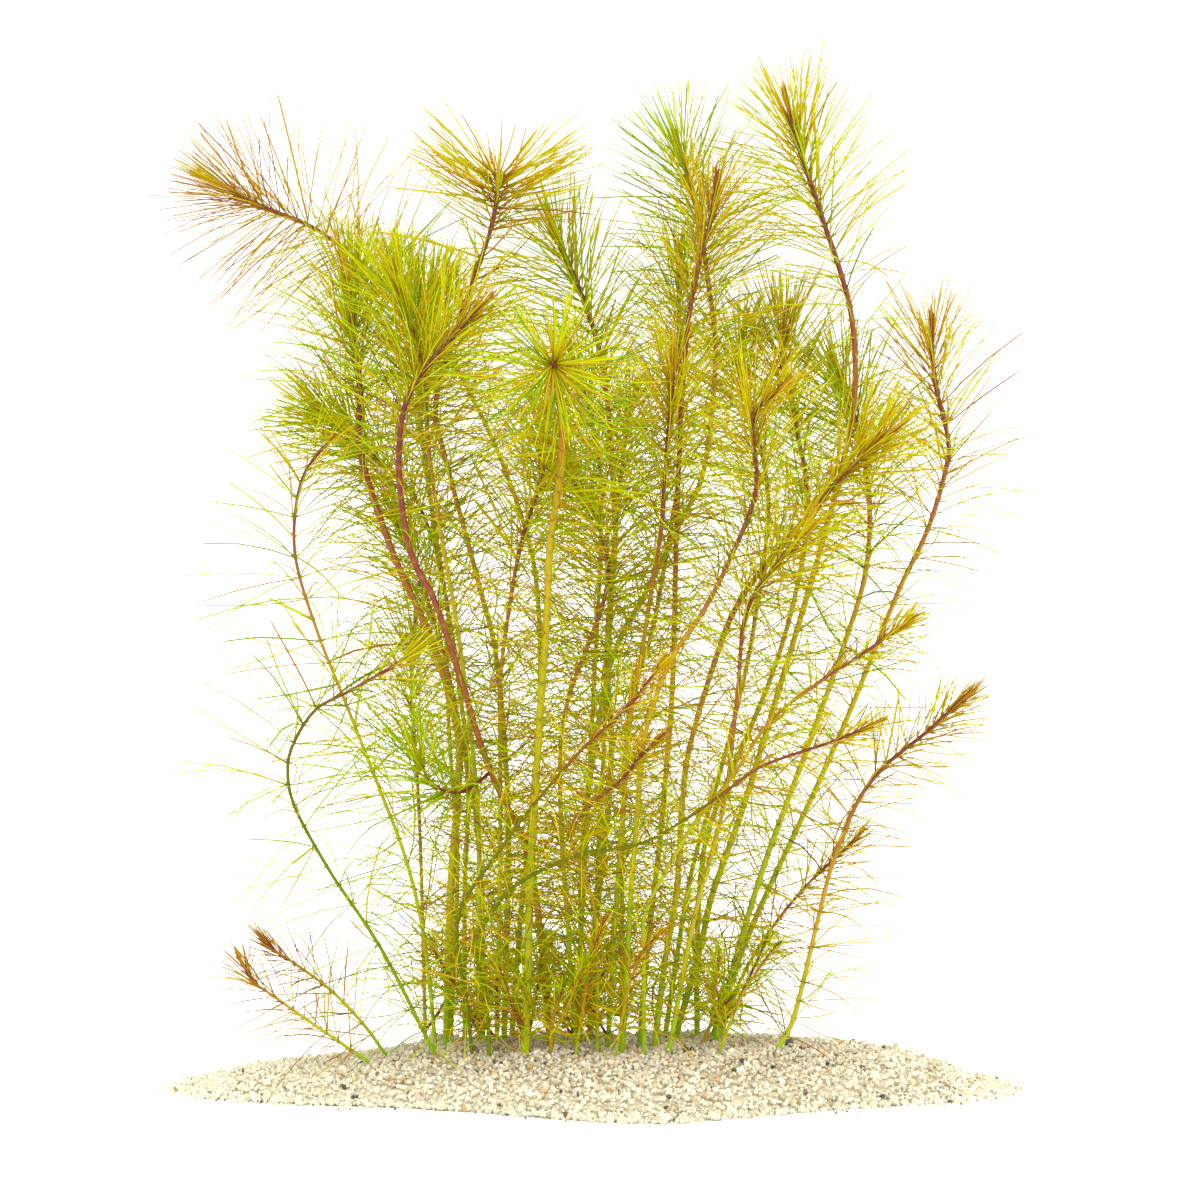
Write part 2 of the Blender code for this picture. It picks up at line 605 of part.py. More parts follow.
def leafy_mesh(tubes, tips, index):
    """The closed mesh of one tube with its leaves."""
    tube = tubes[index]
    mesh = bmesh.new()
    own_tips = {key[1:]: tip for key, tip in tips.items() if key[0] == index}
    add_tube(mesh, tube.rings, tube.course.at(tube.course.length + TIP_POINT)[0], own_tips)
    return mesh


def make_stems():
    """All stems with their leaves; the twig is joined to the stem that bears it."""
    tubes = [make_tube(stem, course_of(stem), -SOCKET_DEPTH, BARE_FOOT) for stem in STEMS]
    twig = Stem("twig_joined", TWIG_GIRTH, None, None, RUST, TWIG_VIGOUR)
    tubes.append(make_tube(twig, Course(TWIG_COURSE), 0.0, TWIG_BARE_FOOT))
    tips = place_leaves(tubes)
    for index, tube in enumerate(tubes[:-1]):
        mesh = leafy_mesh(tubes, tips, index)
        add_object(tube.stem.name, mesh, tube.stem.colour, PLANT_ROUGHNESS)
    bearer = bpy.data.objects[TWIG_OWNER]
    add_cutter(twig.name, leafy_mesh(tubes, tips, len(tubes) - 1), bearer, "UNION")
    return tubes[:-1]


def socket_ring(lower, upper, place):
    """A ring a gap wider than the foot of a stem, at a distance along that stem."""
    share = (place - lower.place) / (upper.place - lower.place)
    radius = lower.radius + (upper.radius - lower.radius) * share
    return Ring(place, lower.centre.lerp(upper.centre, share),
                lower.right.lerp(upper.right, share), lower.up.lerp(upper.up, share),
                lower.along, radius + GAP / math.cos(math.pi / SIDES))


def cut_sockets(bed, tubes):
    """Cuts a socket in the gravel for each stem, a gap wider than the stem."""
    mesh = bmesh.new()
    for tube in tubes:
        foot = [socket_ring(tube.rings[0], tube.rings[1], place)
                for place in (-SOCKET_DEPTH - GAP, SOCKET_TOP)]
        add_tube(mesh, foot, foot[1].centre + foot[1].along * SOCKET_POINT, {})
    add_cutter("socket_cutter", mesh, bed)


def main():
    """Clears the scene, then builds the gravel and the stems that stand in it."""
    for leftover in list(bpy.data.objects):
        bpy.data.objects.remove(leftover, do_unlink=True)
    bed = make_bed()
    tubes = make_stems()
    cut_sockets(bed, tubes)


main()
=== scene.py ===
"""Looks of a clump of vietnam rotala that stands in a low mound of pale gravel.

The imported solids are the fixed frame. Every long stem and short shoot gets a round, jointed
stem with its whorls of needle leaves, and the mound gets its loose grains.
Lengths are millimetres until a mesh is made, with X to the right, Y to the back and Z up.
"""

import logging
import math
from dataclasses import dataclass
from dataclasses import field
from enum import Enum
from typing import Any

import bmesh
import bpy
import numpy as np
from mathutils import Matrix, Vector


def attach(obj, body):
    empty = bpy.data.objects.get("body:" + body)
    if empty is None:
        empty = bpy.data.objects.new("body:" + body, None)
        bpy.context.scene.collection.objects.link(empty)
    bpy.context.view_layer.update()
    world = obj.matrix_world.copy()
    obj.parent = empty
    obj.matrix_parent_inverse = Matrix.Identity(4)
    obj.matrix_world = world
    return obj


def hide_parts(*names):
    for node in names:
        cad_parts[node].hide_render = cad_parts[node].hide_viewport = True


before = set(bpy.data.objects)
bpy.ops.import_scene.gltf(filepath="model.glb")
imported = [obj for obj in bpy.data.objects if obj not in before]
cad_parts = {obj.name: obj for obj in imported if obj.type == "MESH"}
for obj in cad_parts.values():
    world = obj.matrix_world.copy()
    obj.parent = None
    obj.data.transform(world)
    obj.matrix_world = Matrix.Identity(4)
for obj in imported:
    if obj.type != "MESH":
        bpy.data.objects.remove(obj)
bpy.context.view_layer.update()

MM = 0.001
BODY = "root"
MAP_NAME = "OFBake"
LOG = logging.getLogger("vietnam_rotala")
DOWN = np.array((0.0, 0.0, -1.0))


def unit(vectors: np.ndarray) -> np.ndarray:
    """Vectors with each scaled to a length of one.

    Args:
        vectors: One vector, or one to a row.

    Returns:
        The vectors at unit length.
    """
    lengths = np.linalg.norm(vectors, axis=-1, keepdims=True)
    return vectors / np.maximum(lengths, 1e-9)


def ring_walls(rings: int, sides: int) -> np.ndarray:
    """Triangles of the walls between rings of points.

    Args:
        rings: How many rings there are.
        sides: How many points each ring has.

    Returns:
        Three point numbers to a row, with two rows to each side of each stretch.
    """
    starts = np.arange(rings - 1)[:, None] * sides
    low, after = starts + np.arange(sides), starts + (np.arange(sides) + 1) % sides
    first = np.stack((low, after, after + sides), axis=2)
    second = np.stack((low, after + sides, low + sides), axis=2)
    return np.stack((first, second), axis=2).reshape(-1, 3)


class Value:
    """A value socket that takes part in shader maths written as Python."""

    def __init__(self, recipe: "Recipe", socket: bpy.types.NodeSocket) -> None:
        """Wraps an output socket of a recipe's node."""
        self.recipe = recipe
        self.socket = socket

    def _math(self, operation: str, first: Any, second: Any) -> "Value":
        """Adds a Math node and wraps what it gives out."""
        node = self.recipe.node("ShaderNodeMath", {"operation": operation}, {0: first, 1: second})
        return Value(self.recipe, node.outputs[0])

    def __add__(self, other: Any) -> "Value":
        """This value plus another."""
        return self._math("ADD", self, other)

    def __radd__(self, other: Any) -> "Value":
        """Another value plus this one."""
        return self._math("ADD", other, self)

    def __sub__(self, other: Any) -> "Value":
        """This value less another."""
        return self._math("SUBTRACT", self, other)

    def __rsub__(self, other: Any) -> "Value":
        """Another value less this one."""
        return self._math("SUBTRACT", other, self)

    def __mul__(self, other: Any) -> "Value":
        """This value times another."""
        return self._math("MULTIPLY", self, other)

    def __rmul__(self, other: Any) -> "Value":
        """Another value times this one."""
        return self._math("MULTIPLY", other, self)

    def __gt__(self, other: Any) -> "Value":
        """One where this value is above another, and nought elsewhere."""
        return self._math("GREATER_THAN", self, other)


class Recipe:
    """The node tree of one material, written as expressions."""

    def __init__(self, name: str) -> None:
        """Starts a material with a Principled shader and no patterns yet."""
        self.material = bpy.data.materials.new(name)
        self.material.use_nodes = True
        self.tree = self.material.node_tree
        self.shader = self.tree.nodes["Principled BSDF"]

    def fill(self, socket: bpy.types.NodeSocket, value: Any) -> None:
        """Links or sets one input socket.

        Args:
            socket: The input socket.
            value: A wrapped value, an output socket, or a plain number or colour.
        """
        if isinstance(value, Value):
            value = value.socket
        if isinstance(value, bpy.types.NodeSocket):
            self.tree.links.new(value, socket)
        elif isinstance(value, tuple) and len(value) == 3 and socket.type == "RGBA":
            socket.default_value = (*value, 1.0)
        else:
            socket.default_value = value

    def node(self, kind: str, settings: dict[str, Any], sockets: dict[Any, Any]) -> bpy.types.Node:
        """Adds a node of any kind.

        Args:
            kind: The node's type.
            settings: Its own settings, set first; "stops" holds a ramp's places and colours.
            sockets: Values or links of its inputs, by name or number.

        Returns:
            The new node.
        """
        made = self.tree.nodes.new(kind)
        for name, value in settings.items():
            if name == "stops":
                self.set_stops(made.color_ramp, value)
            else:
                setattr(made, name, value)
        for key, value in sockets.items():
            self.fill(made.inputs[key], value)
        return made

    @staticmethod
    def set_stops(ramp: bpy.types.ColorRamp, stops: tuple) -> None:
        """Sets a ramp's stops from pairs of a place and a colour."""
        while len(ramp.elements) < len(stops):
            ramp.elements.new(1.0)
        for element, (place, colour) in zip(ramp.elements, stops):
            element.position = place
            element.color = (*colour, 1.0)

    def look(self, name: str) -> Value:
        """A number that the mesh holds at each of its points."""
        return Value(self, self.node("ShaderNodeAttribute", {"attribute_name": name}, {}).outputs["Fac"])

    def vector(self, x: Any, y: Any, z: Any) -> bpy.types.NodeSocket:
        """A vector put together from three values."""
        return self.node("ShaderNodeCombineXYZ", {}, {0: x, 1: y, 2: z}).outputs[0]

    def own_place(self) -> bpy.types.NodeSocket:
        """The place on the object, in metres."""
        return self.node("ShaderNodeTexCoord", {}, {}).outputs["Object"]

    def noise(self, place: bpy.types.NodeSocket, scale: float, detail: float = 2.0) -> Value:
        """Soft noise from nought to one."""
        sockets = {"Vector": place, "Scale": scale, "Detail": detail}
        return Value(self, self.node("ShaderNodeTexNoise", {}, sockets).outputs[0])

    def ramp(self, place: Value, stops: tuple) -> bpy.types.NodeSocket:
        """A colour read from a ramp."""
        return self.node("ShaderNodeValToRGB", {"stops": stops}, {0: place}).outputs[0]

    def blend(self, share: Any, first: Any, second: Any, way: str = "MIX") -> bpy.types.NodeSocket:
        """Two colours mixed.

        Args:
            share: How much of the second colour shows.
            first: The colour underneath.
            second: The colour on top.
            way: How they mix.

        Returns:
            The mixed colour's socket.
        """
        settings = {"data_type": "RGBA", "blend_type": way}
        return self.node("ShaderNodeMix", settings, {0: share, 6: first, 7: second}).outputs[2]

    def bump(self, height: Value, depth: float) -> bpy.types.NodeSocket:
        """A normal that a height in shares of a depth in metres bends."""
        sockets = {"Height": height, "Distance": depth, "Strength": 1.0}
        return self.node("ShaderNodeBump", {}, sockets).outputs[0]

    def dress(self, **sockets: Any) -> bpy.types.Material:
        """Fills the shader's sockets by name, with _ for a space, and gives the material."""
        for name, value in sockets.items():
            self.fill(self.shader.inputs[name.replace("_", " ")], value)
        return self.material


@dataclass(frozen=True)
class LeafFinish:
    """The soft, thin green of needle leaves, which turns golden and rusty with the shade."""

    name: str = "needle_leaf"
    stops: tuple = (
        (0.00, (0.125, 0.215, 0.001)),
        (0.12, (0.255, 0.375, 0.001)),
        (0.28, (0.415, 0.440, 0.001)),
        (0.42, (0.460, 0.345, 0.002)),
        (0.58, (0.385, 0.195, 0.008)),
        (0.78, (0.250, 0.090, 0.018)),
        (1.00, (0.085, 0.028, 0.018)),
    )
    mottle: float = 0.16
    mottle_run: float = 2.5
    mottle_lots: float = 60.0
    mottle_scale: float = 2.2
    roughness: float = 0.45
    roughness_spread: float = 0.2
    shine: float = 0.05
    # Painted light: the leaves glow in their own colour, standing in for light shining through them and
    # lifting their shade inside the clump.
    painted_glow: float = 0.18

    def material(self) -> bpy.types.Material:
        """Makes the material that all leaves wear."""
        recipe = Recipe(self.name)
        along = recipe.look("along") * self.mottle_run
        place = recipe.vector(along, recipe.look("lot") * self.mottle_lots, 0.0)
        mottle = recipe.noise(place, self.mottle_scale)
        colour = recipe.ramp(recipe.look("shade") + (mottle - 0.5) * self.mottle, self.stops)
        return recipe.dress(
            Base_Color=colour,
            Roughness=mottle * self.roughness_spread + self.roughness,
            Specular_IOR_Level=self.shine,
            # Painted light: the leaf colour glows to lift the shade among the leaves.
            Emission_Color=colour,
            Emission_Strength=self.painted_glow,
        )


@dataclass(frozen=True)
class BarkFinish:
    """The waxy skin of the stems, bright green at the foot and purple red near the tip."""

    name: str = "stem_skin"
    stops: tuple = (
        (0.00, (0.210, 0.380, 0.002)),
        (0.24, (0.340, 0.390, 0.002)),
        (0.44, (0.370, 0.220, 0.006)),
        (0.60, (0.280, 0.095, 0.012)),
        (0.78, (0.170, 0.028, 0.020)),
        (1.00, (0.085, 0.010, 0.020)),
    )
    streak: float = 0.22
    streak_lots: float = 9.0
    streak_run: float = 30.0
    streak_scale: float = 1.4
    joint_colour: tuple = (0.34, 0.20, 0.02)
    joint_share: float = 0.35
    roughness: float = 0.36
    roughness_spread: float = 0.22
    grain_scale: float = 2600.0
    ripple: float = 0.00006
    shine: float = 0.2
    # Painted light: the stem skin glows in its own colour to lift its shade inside the clump.
    painted_glow: float = 0.12

    def material(self) -> bpy.types.Material:
        """Makes the material that all stems wear."""
        recipe = Recipe(self.name)
        place = recipe.own_place()
        around = recipe.look("lot") * self.streak_lots
        on_skin = recipe.vector(around, recipe.look("shade") * self.streak_run, 0.0)
        streaks = recipe.noise(on_skin, self.streak_scale)
        colour = recipe.ramp(recipe.look("shade") + (streaks - 0.5) * self.streak, self.stops)
        colour = recipe.blend(recipe.look("along") * self.joint_share, colour, self.joint_colour)
        grain = recipe.noise(place, self.grain_scale)
        return recipe.dress(
            Base_Color=colour,
            Roughness=grain * self.roughness_spread + self.roughness,
            Specular_IOR_Level=self.shine,
            # Painted light: the skin colour glows to lift the stems' shade.
            Emission_Color=colour,
            Emission_Strength=self.painted_glow,
            Normal=recipe.bump(grain, self.ripple),
        )


DUSKY_BARK = BarkFinish(
    name="dusky_stem_skin",
    stops=(
        (0.00, (0.210, 0.380, 0.002)),
        (0.14, (0.180, 0.275, 0.001)),
        (0.30, (0.105, 0.145, 0.001)),
        (0.45, (0.120, 0.090, 0.003)),
        (0.62, (0.200, 0.052, 0.016)),
        (0.80, (0.180, 0.026, 0.028)),
        (1.00, (0.095, 0.010, 0.022)),
    ),
    streak=0.14,
    joint_colour=(0.20, 0.15, 0.01),
    shine=0.06,
    # Painted light: a weaker glow for the dusky stems.
    painted_glow=0.05,
)


@dataclass(frozen=True)
class GravelFinish:
    """Matt grains in cream, beige, grey and tan, a few of them dark."""

    name: str = "pale_gravel"
    stops: tuple = (
        (0.00, (0.54, 0.48, 0.33)),
        (0.18, (0.67, 0.65, 0.51)),
        (0.34, (0.47, 0.38, 0.23)),
        (0.46, (0.57, 0.57, 0.49)),
        (0.58, (0.38, 0.30, 0.18)),
        (0.68, (0.54, 0.51, 0.40)),
        (0.78, (0.48, 0.28, 0.11)),
        (0.84, (0.62, 0.56, 0.39)),
        (0.91, (0.30, 0.24, 0.15)),
        (0.95, (0.10, 0.085, 0.07)),
        (1.00, (0.045, 0.042, 0.040)),
    )
    cloud: tuple = (0.80, 0.77, 0.66)
    cloud_share: float = 0.3
    cloud_scale: float = 700.0
    speck: tuple = (0.24, 0.19, 0.13)
    speck_share: float = 0.28
    speck_scale: float = 1900.0
    speck_detail: float = 3.0
    speck_level: float = 0.63
    roughness: float = 0.62
    roughness_spread: float = 0.3
    pitting: float = 0.00025
    pit_scale: float = 1300.0
    pit_detail: float = 4.0
    shine: float = 0.35
    # Painted light: the grains glow in their own colour to lift their shade under the foliage.
    painted_glow: float = 0.13

    def material(self) -> bpy.types.Material:
        """Makes the material of the grains."""
        recipe = Recipe(self.name)
        place = recipe.own_place()
        kind = recipe.look("lot")
        cloud = recipe.noise(place, self.cloud_scale)
        colour = recipe.ramp(kind, self.stops)
        colour = recipe.blend(cloud * self.cloud_share, colour, self.cloud, "MULTIPLY")
        specks = recipe.noise(place, self.speck_scale, self.speck_detail) > self.speck_level
        colour = recipe.blend(specks * self.speck_share, colour, self.speck)
        pits = recipe.noise(place, self.pit_scale, self.pit_detail)
        return recipe.dress(
            Base_Color=colour,
            Roughness=pits * self.roughness_spread + self.roughness,
            Specular_IOR_Level=self.shine,
            # Painted light: the grain colour glows to lift the shade on the gravel.
            Emission_Color=colour,
            Emission_Strength=self.painted_glow,
            Normal=recipe.bump(pits, self.pitting),
        )


@dataclass(frozen=True)
class FloorFinish:
    """A plain pale floor."""

    name: str = "pale_floor"
    colour: tuple = (0.93, 0.93, 0.90)
    roughness: float = 0.85
    shine: float = 0.1

    def material(self) -> bpy.types.Material:
        """Makes the floor's material."""
        return Recipe(self.name).dress(
            Base_Color=self.colour,
            Roughness=self.roughness,
            Specular_IOR_Level=self.shine,
        )


class PieceMesh:
    """Gathers the points and triangles of one piece, with what its finishes read there."""

    def __init__(self) -> None:
        """Starts empty."""
        self.points: list[np.ndarray] = []
        self.triangles: list[np.ndarray] = []
        self.corners: list[np.ndarray] = []
        self.slots: list[np.ndarray] = []
        self.looks: dict[str, list[np.ndarray]] = {"shade": [], "along": [], "lot": []}
        self.count = 0

    def add(self, points: np.ndarray, triangles: np.ndarray, corners: np.ndarray, slot: int,
            **looks: np.ndarray) -> None:
        """Adds points, and triangles between them.

        Args:
            points: One point to a row, in millimetres.
            triangles: Three point numbers to a row.
            corners: Where each triangle's corners lie on the map.
            slot: The material slot that the triangles wear.
            looks: For each look by name, its value at each point.
        """
        self.points.append(points)
        self.triangles.append(triangles + self.count)
        self.corners.append(corners)
        self.slots.append(np.full(len(triangles), slot))
        for name, values in self.looks.items():
            values.append(np.broadcast_to(looks.get(name, 0.0), len(points)))
        self.count += len(points)

    def to_object(self, name: str, materials: list[bpy.types.Material], smooth: bool) -> bpy.types.Object:
        """Makes the object.

        Args:
            name: The piece's name.
            materials: The materials, by slot.
            smooth: Whether its faces are shaded smooth.

        Returns:
            The object, linked to the scene.
        """
        points = np.concatenate(self.points) * MM
        triangles = np.concatenate(self.triangles)
        mesh = bpy.data.meshes.new(name)
        mesh.from_pydata(points.tolist(), [], triangles.tolist())
        for look, values in self.looks.items():
            held = mesh.attributes.new(look, "FLOAT", "POINT")
            held.data.foreach_set("value", np.concatenate(values).astype(np.float32))
        flat_map = mesh.uv_layers.new(name=MAP_NAME)
        flat_map.uv.foreach_set("vector", np.concatenate(self.corners).astype(np.float32).ravel())
        for material in materials:
            mesh.materials.append(material)
        mesh.polygons.foreach_set("material_index", np.concatenate(self.slots).astype(np.int32))
        mesh.polygons.foreach_set("use_smooth", np.full(len(triangles), smooth))
        mesh.update()
        piece = bpy.data.objects.new(name, mesh)
        bpy.context.scene.collection.objects.link(piece)
        return piece


@dataclass
class Course:
    """A smooth line through chosen points, read by the distance along it."""

    knots: tuple
    trim: float = 0.0
    step: float = 1.5
    path: np.ndarray = field(init=False)
    distances: np.ndarray = field(init=False)

    def __post_init__(self) -> None:
        """Works out the line's own points and how far along it each lies."""
        knots = np.array(self.knots, float)
        knots = np.vstack((2 * knots[0] - knots[1], knots, 2 * knots[-1] - knots[-2]))
        path = [knots[1]]
        for before, start, end, after in zip(knots, knots[1:], knots[2:], knots[3:]):
            pieces = max(2, round(np.linalg.norm(end - start) / self.step))
            for t in np.arange(1, pieces + 1) / pieces:
                path.append(0.5 * (2 * start + (end - before) * t
                                   + (2 * before - 5 * start + 4 * end - after) * t ** 2
                                   + (3 * start - before - 3 * end + after) * t ** 3))
        self.path = np.array(path)
        stretches = np.linalg.norm(np.diff(self.path, axis=0), axis=1)
        self.distances = np.concatenate(((0.0,), np.cumsum(stretches)))
        if self.trim:
            kept = self.distances < self.distances[-1] - self.trim
            self.path, self.distances = self.path[kept], self.distances[kept]

    @property
    def length(self) -> float:
        """How long the line is."""
        return float(self.distances[-1])

    def at(self, places: np.ndarray) -> tuple[np.ndarray, np.ndarray]:
        """Points and directions along the line, which runs straight on beyond its ends.

        Args:
            places: Distances along the line.

        Returns:
            The points, and the directions there.
        """
        index = np.clip(np.searchsorted(self.distances, places) - 1, 0, len(self.path) - 2)
        along = unit(self.path[index + 1] - self.path[index])
        points = self.path[index] + along * (places - self.distances[index])[:, None]
        blended = unit(along + self.soft_turn(index))
        return points, blended

    def soft_turn(self, index: np.ndarray) -> np.ndarray:
        """The direction of the stretch after each one, which softens the turns."""
        after = np.clip(index + 1, 0, len(self.path) - 2)
        return unit(self.path[after + 1] - self.path[after])


@dataclass
class Mound:
    """The loose mound of aquarium gravel: its form, its grains and what lies around it."""

    half_length: float = 115.0
    front_depth: float = 36.0
    back_depth: float = 38.0
    deeper_to_right: float = 4.0
    bulge_middle: float = 12.0
    bulge_width: float = 42.0
    front_bulge: float = 30.0
    back_bulge: float = 16.0
    crest: tuple = (
        (-115, 1.2), (-100, 5.0), (-84, 7.2), (-66, 8.2), (-42, 12.8), (-10, 13.6), (45, 13.6),
        (66, 12.8), (88, 10.0), (105, 5.4), (115, 1.2))
    rim: float = 1.2
    rounding: float = 2.4
    end_rounding: int = 4
    lump_height: float = 0.5
    broad_lump: float = 8.5
    narrow_lump: float = 4.8
    lump_fade: float = 4.0
    grain_shapes: int = 40
    grain_corners: int = 8
    spread_steps: int = 6
    spread_push: float = 0.12
    corner_reach: tuple = (0.74, 1.08)
    stretch: tuple = ((0.9, 0.8, 0.65), (1.25, 1.0, 0.9))
    unevenness: float = 0.22
    off_floor: float = 0.05
    first_dark: float = 0.9
    fine_grain: float = 0.6
    dark_shares: tuple = (0.17, 0.015)
    disc_radius: float = 0.46
    spacing: float = 1.47
    row_gap: float = 0.87
    grid_margin: tuple = (6.0, 8.0)
    grain_radius: float = 0.80
    grain_spread: float = 0.3
    least_grain: float = 0.45
    largest_grain: float = 1.6
    mean_edge: float = 0.98
    edge_fade: float = 0.045
    edge_wave: float = 0.012
    edge_waves: float = 5.0
    edge_start: float = 1.0
    thin_reach: float = 1.01
    thin_width: float = 0.15
    layers: tuple = ((-0.1, 1.0, 0.0), (0.5, 0.16, 0.0), (-1.0, 1.0, 0.88), (-2.0, 1.0, 0.88))
    pale_reach: tuple = (0.5, 0.95)
    pale_rim: float = 0.8
    pale_left: tuple = (-90.0, -35.0)
    pale_end: float = 0.5
    pale_kinds: tuple = (0.13, 0.25)
    # The core's colour: the finer gravel's tone, darkened to paint the shade in the gaps between the grains,
    # and paler where the grains are pale.
    core_kinds_and_gap_shade: tuple = (0.880, 0.845)
    core_depth: float = 0.85
    core_reach: float = 0.945
    core_slope: float = 0.10
    core_spokes: int = 64
    core_rings: int = 14
    core_crowding: float = 0.7
    core_least: float = 0.12
    core_width: float = 2.2
    core_on_map: float = 0.008
    loose_reach: float = 17.0
    loose_crowding: float = 2.3
    loose_grains: int = 760
    loose_behind: float = 0.3
    loose_sideways: float = 0.3
    loose_size: tuple = (-0.8, 0.3)
    loose_limits: tuple = (0.25, 0.7)
    seed: int = 41

    def depth(self, x: np.ndarray, y: np.ndarray) -> np.ndarray:
        """How deep the gravel is at x, in front of its long axis or behind it."""
        bulge = np.exp(-((x - self.bulge_middle) / self.bulge_width) ** 2)
        front = self.front_depth + self.deeper_to_right * x / self.half_length + self.front_bulge * bulge
        return np.where(y < 0, front, self.back_depth + self.back_bulge * bulge)

    def closing(self, share: np.ndarray) -> np.ndarray:
        """How far the outline closes in at a share of the half length, from one to nought."""
        return np.sqrt(np.maximum(1.0 - np.abs(share) ** self.end_rounding, 1e-9))

    def reach(self, x: np.ndarray, y: np.ndarray) -> np.ndarray:
        """A place's distance from the middle, as a share of the way to the outline."""
        across = (y / self.depth(x, y)) ** 2
        along = (x / self.half_length) ** self.end_rounding
        return np.sqrt((across + np.sqrt(across ** 2 + 4 * along)) / 2)

    def smooth_height(self, x: np.ndarray, y: np.ndarray) -> np.ndarray:
        """Height of the smooth mound over places on the ground."""
        across = np.abs(y) / (self.depth(x, y) * self.closing(x / self.half_length))
        crest = np.interp(x, *zip(*self.crest))
        return self.rim + (crest - self.rim) * (1.0 - np.minimum(across, 1.0) ** self.rounding)

    def lump(self, x: np.ndarray, y: np.ndarray) -> np.ndarray:
        """The low swell of gravel that was poured."""
        broad = np.sin(x / self.broad_lump) * np.cos(y / self.broad_lump)
        return self.lump_height * (broad + np.sin((x - y) / self.narrow_lump))

    def surface(self, x: np.ndarray, y: np.ndarray) -> np.ndarray:
        """Height of the poured gravel, whose swell fades towards the outline."""
        fade = 1.0 - np.minimum(self.reach(x, y), 1.0) ** self.lump_fade
        return self.smooth_height(x, y) + fade * self.lump(x, y)

    def foot_height(self, x: float, y: float) -> float:
        """Height at which a stem leaves the gravel."""
        place = np.float64(x), np.float64(y)
        return float(self.smooth_height(*place) + self.lump(*place))

    def grain_forms(self, draw: np.random.Generator) -> tuple[np.ndarray, np.ndarray]:
        """Angular grain shapes, all with the same number of corners and triangles.

        Args:
            draw: Where chance comes from.

        Returns:
            The corners of each shape, and its triangles.
        """
        forms, faces = [], []
        for _ in range(self.grain_shapes):
            cloud = unit(draw.normal(size=(self.grain_corners, 3)))
            for _ in range(self.spread_steps):
                gap = cloud[:, None] - cloud[None]
                near = np.linalg.norm(gap, axis=2, keepdims=True) + np.eye(self.grain_corners)[..., None]
                cloud = unit(cloud + self.spread_push * (gap / near ** 3).sum(axis=1))
            cloud *= draw.uniform(*self.corner_reach, (self.grain_corners, 1))
            hull = bmesh.new()
            for corner in cloud:
                hull.verts.new(corner)
            bmesh.ops.convex_hull(hull, input=hull.verts)
            hull.verts.index_update()
            triangles = [[v.index for v in face.verts] for face in hull.faces]
            if len(triangles) == 2 * self.grain_corners - 4:
                forms.append(cloud - cloud.mean(axis=0))
                faces.append(triangles)
            hull.free()
        return np.array(forms), np.array(faces)

    def spots(self, draw: np.random.Generator) -> np.ndarray:
        """Centres of the grains: rows of x, y, a drop below the surface and a size."""
        rows = []
        for drop, share, least_reach in self.layers:
            widest = self.front_depth + self.front_bulge
            beside, before = self.grid_margin
            columns = np.arange(-self.half_length - beside, self.half_length + beside, self.spacing)
            lines = np.arange(-widest - before, widest, self.spacing * self.row_gap)
            x, y = np.meshgrid(columns, lines)
            x[::2] += self.spacing / 2
            x = (x + draw.uniform(-0.5, 0.5, x.shape) * self.spacing).ravel()
            y = (y + draw.uniform(-0.5, 0.5, y.shape) * self.spacing).ravel()
            wave = np.sin(self.edge_waves * np.arctan2(y, x) + self.edge_start)
            edge = self.mean_edge + self.edge_wave * wave + draw.normal(0.0, self.edge_fade, x.shape)
            reach = self.reach(x, y)
            kept = (reach < edge) & (reach > least_reach) & (draw.uniform(size=x.shape) < share)
            x, y = x[kept], y[kept]
            size = draw.lognormal(math.log(self.grain_radius), self.grain_spread, len(x))
            size = np.clip(size, self.least_grain, self.largest_grain)
            rows.append(np.stack((x, y, np.full(len(x), drop), size), axis=1))
        return np.concatenate(rows)

    def paleness_and_painted_light(self, x: np.ndarray, y: np.ndarray) -> np.ndarray:
        """The share of grains that are cream, which grows towards the outline and the left end: partly the
        gravel's own cream grains, partly painted light for the washed-out brightness there.
        """
        outward = np.interp(self.reach(x, y), self.pale_reach, (0.0, self.pale_rim))
        return outward + np.interp(x, self.pale_left, (self.pale_end, 0.0))

    def loose_spots(self, draw: np.random.Generator) -> np.ndarray:
        """Centres of the single grains that lie around the mound, mostly in front."""
        angle = draw.uniform(0.0, 2 * math.pi, self.loose_grains)
        side = np.copysign(self.closing(np.cos(angle)), np.sin(angle))
        x = self.half_length * np.cos(angle)
        y = self.depth(x, side) * side
        away = draw.uniform(0.0, 1.0, self.loose_grains) ** self.loose_crowding * self.loose_reach
        away = away * np.where(side < 0.0, 1.0, self.loose_behind)
        x, y = x + self.loose_sideways * away * np.cos(angle), y + away * np.sin(angle)
        size = np.clip(draw.lognormal(*self.loose_size, len(x)), *self.loose_limits)
        return np.stack((x, y, np.zeros(len(x)), size), axis=1)

    def grain_turns(self, draw: np.random.Generator, count: int) -> np.ndarray:
        """A rotation for each grain, with any part of it up."""
        q = unit(draw.normal(size=(count, 4)))
        w, x, y, z = q.T
        rows = ((1 - 2 * (y * y + z * z), 2 * (x * y - z * w), 2 * (x * z + y * w)),
                (2 * (x * y + z * w), 1 - 2 * (x * x + z * z), 2 * (y * z - x * w)),
                (2 * (x * z - y * w), 2 * (y * z + x * w), 1 - 2 * (x * x + y * y)))
        return np.moveaxis(np.array(rows), -1, 0)

